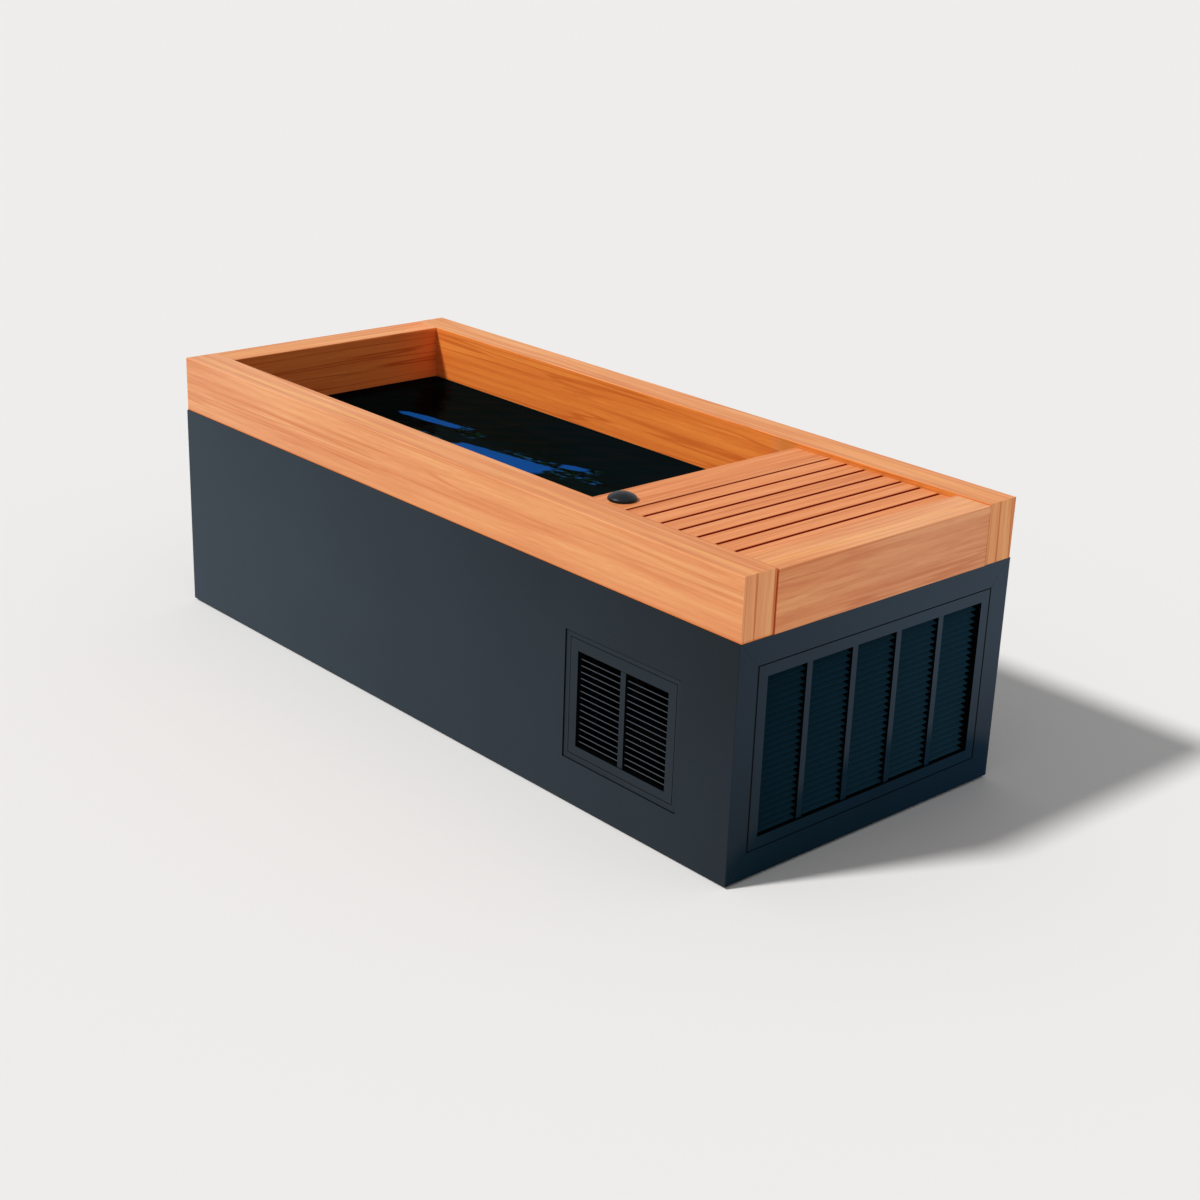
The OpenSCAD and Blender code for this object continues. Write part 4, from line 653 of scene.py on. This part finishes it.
# Patches on the water by centre, half sizes and turn: the blackest places, and those broken up by ripples
# with painted reflections
BLACK_PATCHES = (((-0.745, 0.175), (0.15, 0.04), -42), ((-0.52, -0.01), (0.07, 0.02), -40))
RIPPLED_PATCHES = (((-0.435, 0.057), (0.055, 0.026), -12), ((-0.12, 0.042), (0.13, 0.02), 8),
                   ((0.03, 0.036), (0.085, 0.016), 3), ((-0.015, 0.08), (0.05, 0.02), 20),
                   ((-0.04, 0.008), (0.045, 0.02), 0), ((-0.45, -0.037), (0.09, 0.008), 0))

WATER_TEAL, WATER_TEAL_NEAR, WATER_FAR = shade(3, 13, 12), shade(3, 16, 20), shade(2, 6, 7)
# The blue and the glints are painted reflections
WATER_BLACK, WATER_DARK, SKY_REFLECTION_BLUE = shade(1, 1, 2), shade(2, 5, 7), shade(13, 70, 138)
GLINT_GREEN, GLINT_BLUE = shade(10, 42, 18), shade(15, 68, 112)


def grid_mesh(name, x, y, z):
    """A mesh over a grid of places given as three arrays of one shape. Its faces look up."""
    rows, columns = x.shape
    mesh = bpy.data.meshes.new(name)
    places = np.stack([x, y, z], axis=-1).reshape(-1, 3)
    corner = (np.arange(rows - 1)[:, None] * columns + np.arange(columns - 1)[None, :]).ravel()
    faces = np.stack([corner, corner + 1, corner + columns + 1, corner + columns], axis=-1)
    mesh.from_pydata(places.tolist(), [], faces.tolist())
    mesh.polygons.foreach_set("use_smooth", np.ones(len(faces), bool))
    mesh.update()
    return mesh


def water_mesh():
    """The water's surface over the basin: a grid whose corners are drawn in to the basin's round corners,
    raised by the sum of a few long low waves crossing at different angles, which die out near the walls."""
    low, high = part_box("floor_foam")
    x0, x1, y0, y1 = low[0] + WATER_GAP, high[0] - WATER_GAP, low[1] + WATER_GAP, high[1] - WATER_GAP
    u, v = np.meshgrid(np.linspace(x0, x1, WATER_COLUMNS), np.linspace(y0, y1, WATER_ROWS))
    cx = np.clip(u, x0 + WATER_CORNER, x1 - WATER_CORNER)
    cy = np.clip(v, y0 + WATER_CORNER, y1 - WATER_CORNER)
    away = np.hypot(u - cx, v - cy)
    pull = np.where(away > WATER_CORNER, WATER_CORNER / np.maximum(away, 1e-9), 1.0)
    x, y = cx + (u - cx) * pull, cy + (v - cy) * pull
    wall = np.minimum.reduce([x - x0, x1 - x, y - y0, y1 - y])
    shore = np.clip(wall / WATER_SHORE, 0, 1)
    calm = shore ** 2 * (3 - 2 * shore)
    waves = 0
    for height, length, turn, start in WAVES:
        along = (x * math.cos(turn) + y * math.sin(turn)) / length
        bend = 0.9 * np.sin(2 * np.pi * y / (2.3 * length) + turn)
        waves = waves + height * np.sin(2 * np.pi * along + start + bend)
    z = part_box("tub_liner")[1][2] - WATER_DROP + waves * calm
    return grid_mesh("water", x, y, z)


def patch(tree, x, y, centre, half, turn=0.0, slant=0.0, soft=0.08):
    """A patch on the water: 1 inside a rounded box of half sizes about a centre, turned by degrees, its ends
    slanted, and falling to 0 over a soft border."""
    angle = math.radians(turn)
    dx, dy = less(tree, x, centre[0]), less(tree, y, centre[1])
    along = total(tree, product(tree, dx, math.cos(angle)), product(tree, dy, math.sin(angle)))
    over = total(tree, product(tree, dx, -math.sin(angle)), product(tree, dy, math.cos(angle)))
    along = total(tree, along, product(tree, over, -slant))
    powers = [math_node(tree, "POWER", math_node(tree, "ABSOLUTE", product(tree, value, 1 / size)), 4.0)
              for value, size in ((along, half[0]), (over, half[1]))]
    far = math_node(tree, "POWER", total(tree, *powers), 0.25)
    return span(tree, far, 1 - soft, 1 + soft, 1.0, 0.0)


def patches(tree, x, y, rows, soft):
    """Several patches in one."""
    return most(tree, *(patch(tree, x, y, *row, soft=soft) for row in rows))


def water_material():
    """Deep still water: near black towards the far end and dark teal towards the deck, with painted
    reflections: blue patches of sky whose edges are broken up by ripples with painted glints."""
    material, tree, shader, place, _ = new_material("deep water")
    parts = split(tree, place)
    stir = less(tree, noise(tree, place, (22.0, 70.0, 1.0), detail=3.0), 0.5)
    sway = less(tree, noise(tree, place, (9.0, 26.0, 1.0)), 0.5)
    x = total(tree, parts[0], product(tree, sway, 0.05))
    y = total(tree, parts[1], product(tree, stir, 0.013))

    # Teal over the near part, which ends in a slanted edge
    wide = noise(tree, place, (3.0, 6.0, 1.0), detail=3.0)
    near = total(tree, product(tree, parts[0], 0.5), product(tree, parts[1], 1.6), wide)
    teal = mix_colour(tree, span(tree, near, 0.35, 1.05), WATER_TEAL, WATER_TEAL_NEAR)
    edge = total(tree, product(tree, parts[0], 0.675), product(tree, parts[1], 0.738),
                 product(tree, sway, 0.06))
    colour = mix_colour(tree, span(tree, edge, -0.385, -0.325), WATER_FAR, teal)
    colour = mix_colour(tree, patches(tree, x, y, BLACK_PATCHES, 0.45), colour, WATER_BLACK)

    # Ripples with painted reflections, dark and green or blue
    zone = patches(tree, x, y, RIPPLED_PATCHES, 0.3)
    turned = put(tree, "VectorRotate", {"Vector": place, "Angle": math.radians(-18)}, rotation_type="Z_AXIS")
    fine = noise(tree, turned.outputs[0], (38.0, 150.0, 1.0), distortion=0.6)
    shift = noise(tree, turned.outputs[0], (24.0, 60.0, 1.0), detail=1.0)
    colour = mix_colour(tree, product(tree, zone, span(tree, fine, 0.5, 0.44)), colour, WATER_DARK)
    glint = mix_colour(tree, span(tree, shift, 0.46, 0.56), GLINT_GREEN, GLINT_BLUE)
    colour = mix_colour(tree, product(tree, zone, span(tree, fine, 0.53, 0.6)), colour, glint)

    # Painted reflections of sky: the large blue patch, bounded on its four sides and notched at a corner,
    # and two small ones
    slope = less(tree, total(tree, product(tree, x, 0.155), 0.0455), y)
    foot = total(tree, y, product(tree, sway, 0.05), product(tree, x, -0.12))
    body = product(tree, span(tree, slope, -0.003, 0.003), span(tree, x, -0.378, -0.37),
                   span(tree, x, -0.05, -0.075), span(tree, foot, -0.07, -0.062))
    notch = patch(tree, x, y, (-0.052, 0.002), (0.02, 0.009), soft=0.2)
    blue = most(tree, patch(tree, x, y, (-0.585, 0.048), (0.11, 0.016), 6, 0.75),
                less(tree, body, notch, clamp=True),
                patch(tree, x, y, (-0.04, 0.073), (0.034, 0.016), 18, soft=0.2))
    colour = mix_colour(tree, blue, colour, SKY_REFLECTION_BLUE)
    set_shader(tree, shader, Base_Color=colour, Roughness=0.08, Specular_IOR_Level=0.001, IOR=1.33)
    bump(tree, shader, noise(tree, place, (26.0, 60.0, 40.0)), 0.0006)
    return material


def add_water():
    """Puts the water into the basin as a piece that rides on the case."""
    mesh = water_mesh()
    mesh.materials.append(water_material())
    water = bpy.data.objects.new("water_surface", mesh)
    bpy.context.scene.collection.objects.link(water)
    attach(water, "case")


add_water()


# Stage, light and camera

FLOOR_REACH = 60.0
FLOOR_LIGHT, FLOOR_SHOWN = 0.4, 0.85
SKY_LIGHT, SKY_SHOWN_MORE = 0.35, 0.49

# The photograph's place, its direction and roll in degrees, and its lens on a 36 mm frame
CAMERA_PLACE = (3.45851, -3.023053, 1.980516)
CAMERA_TURN = (47.546, 20.9719, 2.0866)
CAMERA_LENS, CAMERA_FRAME = 59.6966, 36.0


def shown(tree):
    """1 for rays that show the stage straight, in gloss or through glass, and 0 for those that light."""
    path = put(tree, "LightPath").outputs
    return most(tree, path["Is Camera Ray"], path["Is Glossy Ray"], path["Is Transmission Ray"])


def add_floor():
    """A wide pale floor that keeps the object's shadow, and sends only part of its light up under it."""
    line = np.array([-FLOOR_REACH, FLOOR_REACH])
    x, y = np.meshgrid(line, line)
    mesh = grid_mesh("floor", x, y, np.zeros_like(x))
    material, tree, shader, _, _ = new_material("pale floor")
    colour = mix_colour(tree, shown(tree), (FLOOR_LIGHT,) * 3 + (1,), (FLOOR_SHOWN,) * 3 + (1,))
    set_shader(tree, shader, Base_Color=colour, Roughness=0.9, Specular_IOR_Level=0.05)
    mesh.materials.append(material)
    floor = bpy.data.objects.new("floor", mesh)
    bpy.context.scene.collection.objects.link(floor)


def add_world():
    """An even pale sky. It looks like the floor beyond its edge, and lights the object less than that."""
    world = bpy.data.worlds.new("studio")
    bpy.context.scene.world = world
    world.use_nodes = True
    tree = world.node_tree
    tree.nodes.clear()
    strength = total(tree, product(tree, shown(tree), SKY_SHOWN_MORE), SKY_LIGHT)
    sky = put(tree, "Background", {0: (1, 1, 1, 1), 1: strength})
    put(tree, "OutputWorld", {0: sky.outputs[0]})


def upright(back):
    """The side and the top of something that looks away from a direction and stands upright."""
    side = np.cross([0, 0, 1.0], back)
    side /= np.linalg.norm(side)
    return side, np.cross(back, side)


def add_sun(name, towards, strength, angle, colour=(1, 1, 1)):
    """A distant soft lamp that shines from a direction."""
    lamp = bpy.data.lights.new(name, "SUN")
    lamp.energy, lamp.angle, lamp.color = strength, angle, colour
    light = bpy.data.objects.new(name, lamp)
    bpy.context.scene.collection.objects.link(light)
    back = np.array(towards, float) / np.linalg.norm(towards)
    side, up = upright(back)
    light.matrix_world = Matrix(np.column_stack([side, up, back]).tolist()).to_4x4()


def add_camera():
    """The photograph's camera, which is turned 2 degrees about its own view."""
    azimuth, elevation, roll = (math.radians(value) for value in CAMERA_TURN)
    back = np.array([math.sin(azimuth) * math.cos(elevation), -math.cos(azimuth) * math.cos(elevation),
                     math.sin(elevation)])
    side, up = upright(back)
    right = side * math.cos(roll) + up * math.sin(roll)
    top = up * math.cos(roll) - side * math.sin(roll)
    camera = bpy.data.objects.new("camera", bpy.data.cameras.new("camera"))
    camera.data.lens = CAMERA_LENS
    camera.data.sensor_width = CAMERA_FRAME
    camera.data.sensor_fit = "HORIZONTAL"
    matrix = np.eye(4)
    matrix[:3, :3] = np.column_stack([right, top, back])
    matrix[:3, 3] = CAMERA_PLACE
    camera.matrix_world = Matrix(matrix.tolist())
    bpy.context.scene.collection.objects.link(camera)
    bpy.context.scene.camera = camera


add_floor()
add_world()
add_sun("key", (-0.27, -0.62, 0.72), 2.84, 0.12, (1.0, 0.985, 0.96))
add_sun("fill", (0.93, -0.3, 0.0), 1.18, 0.01)
add_camera()
bpy.context.scene.view_settings.view_transform = "Standard"
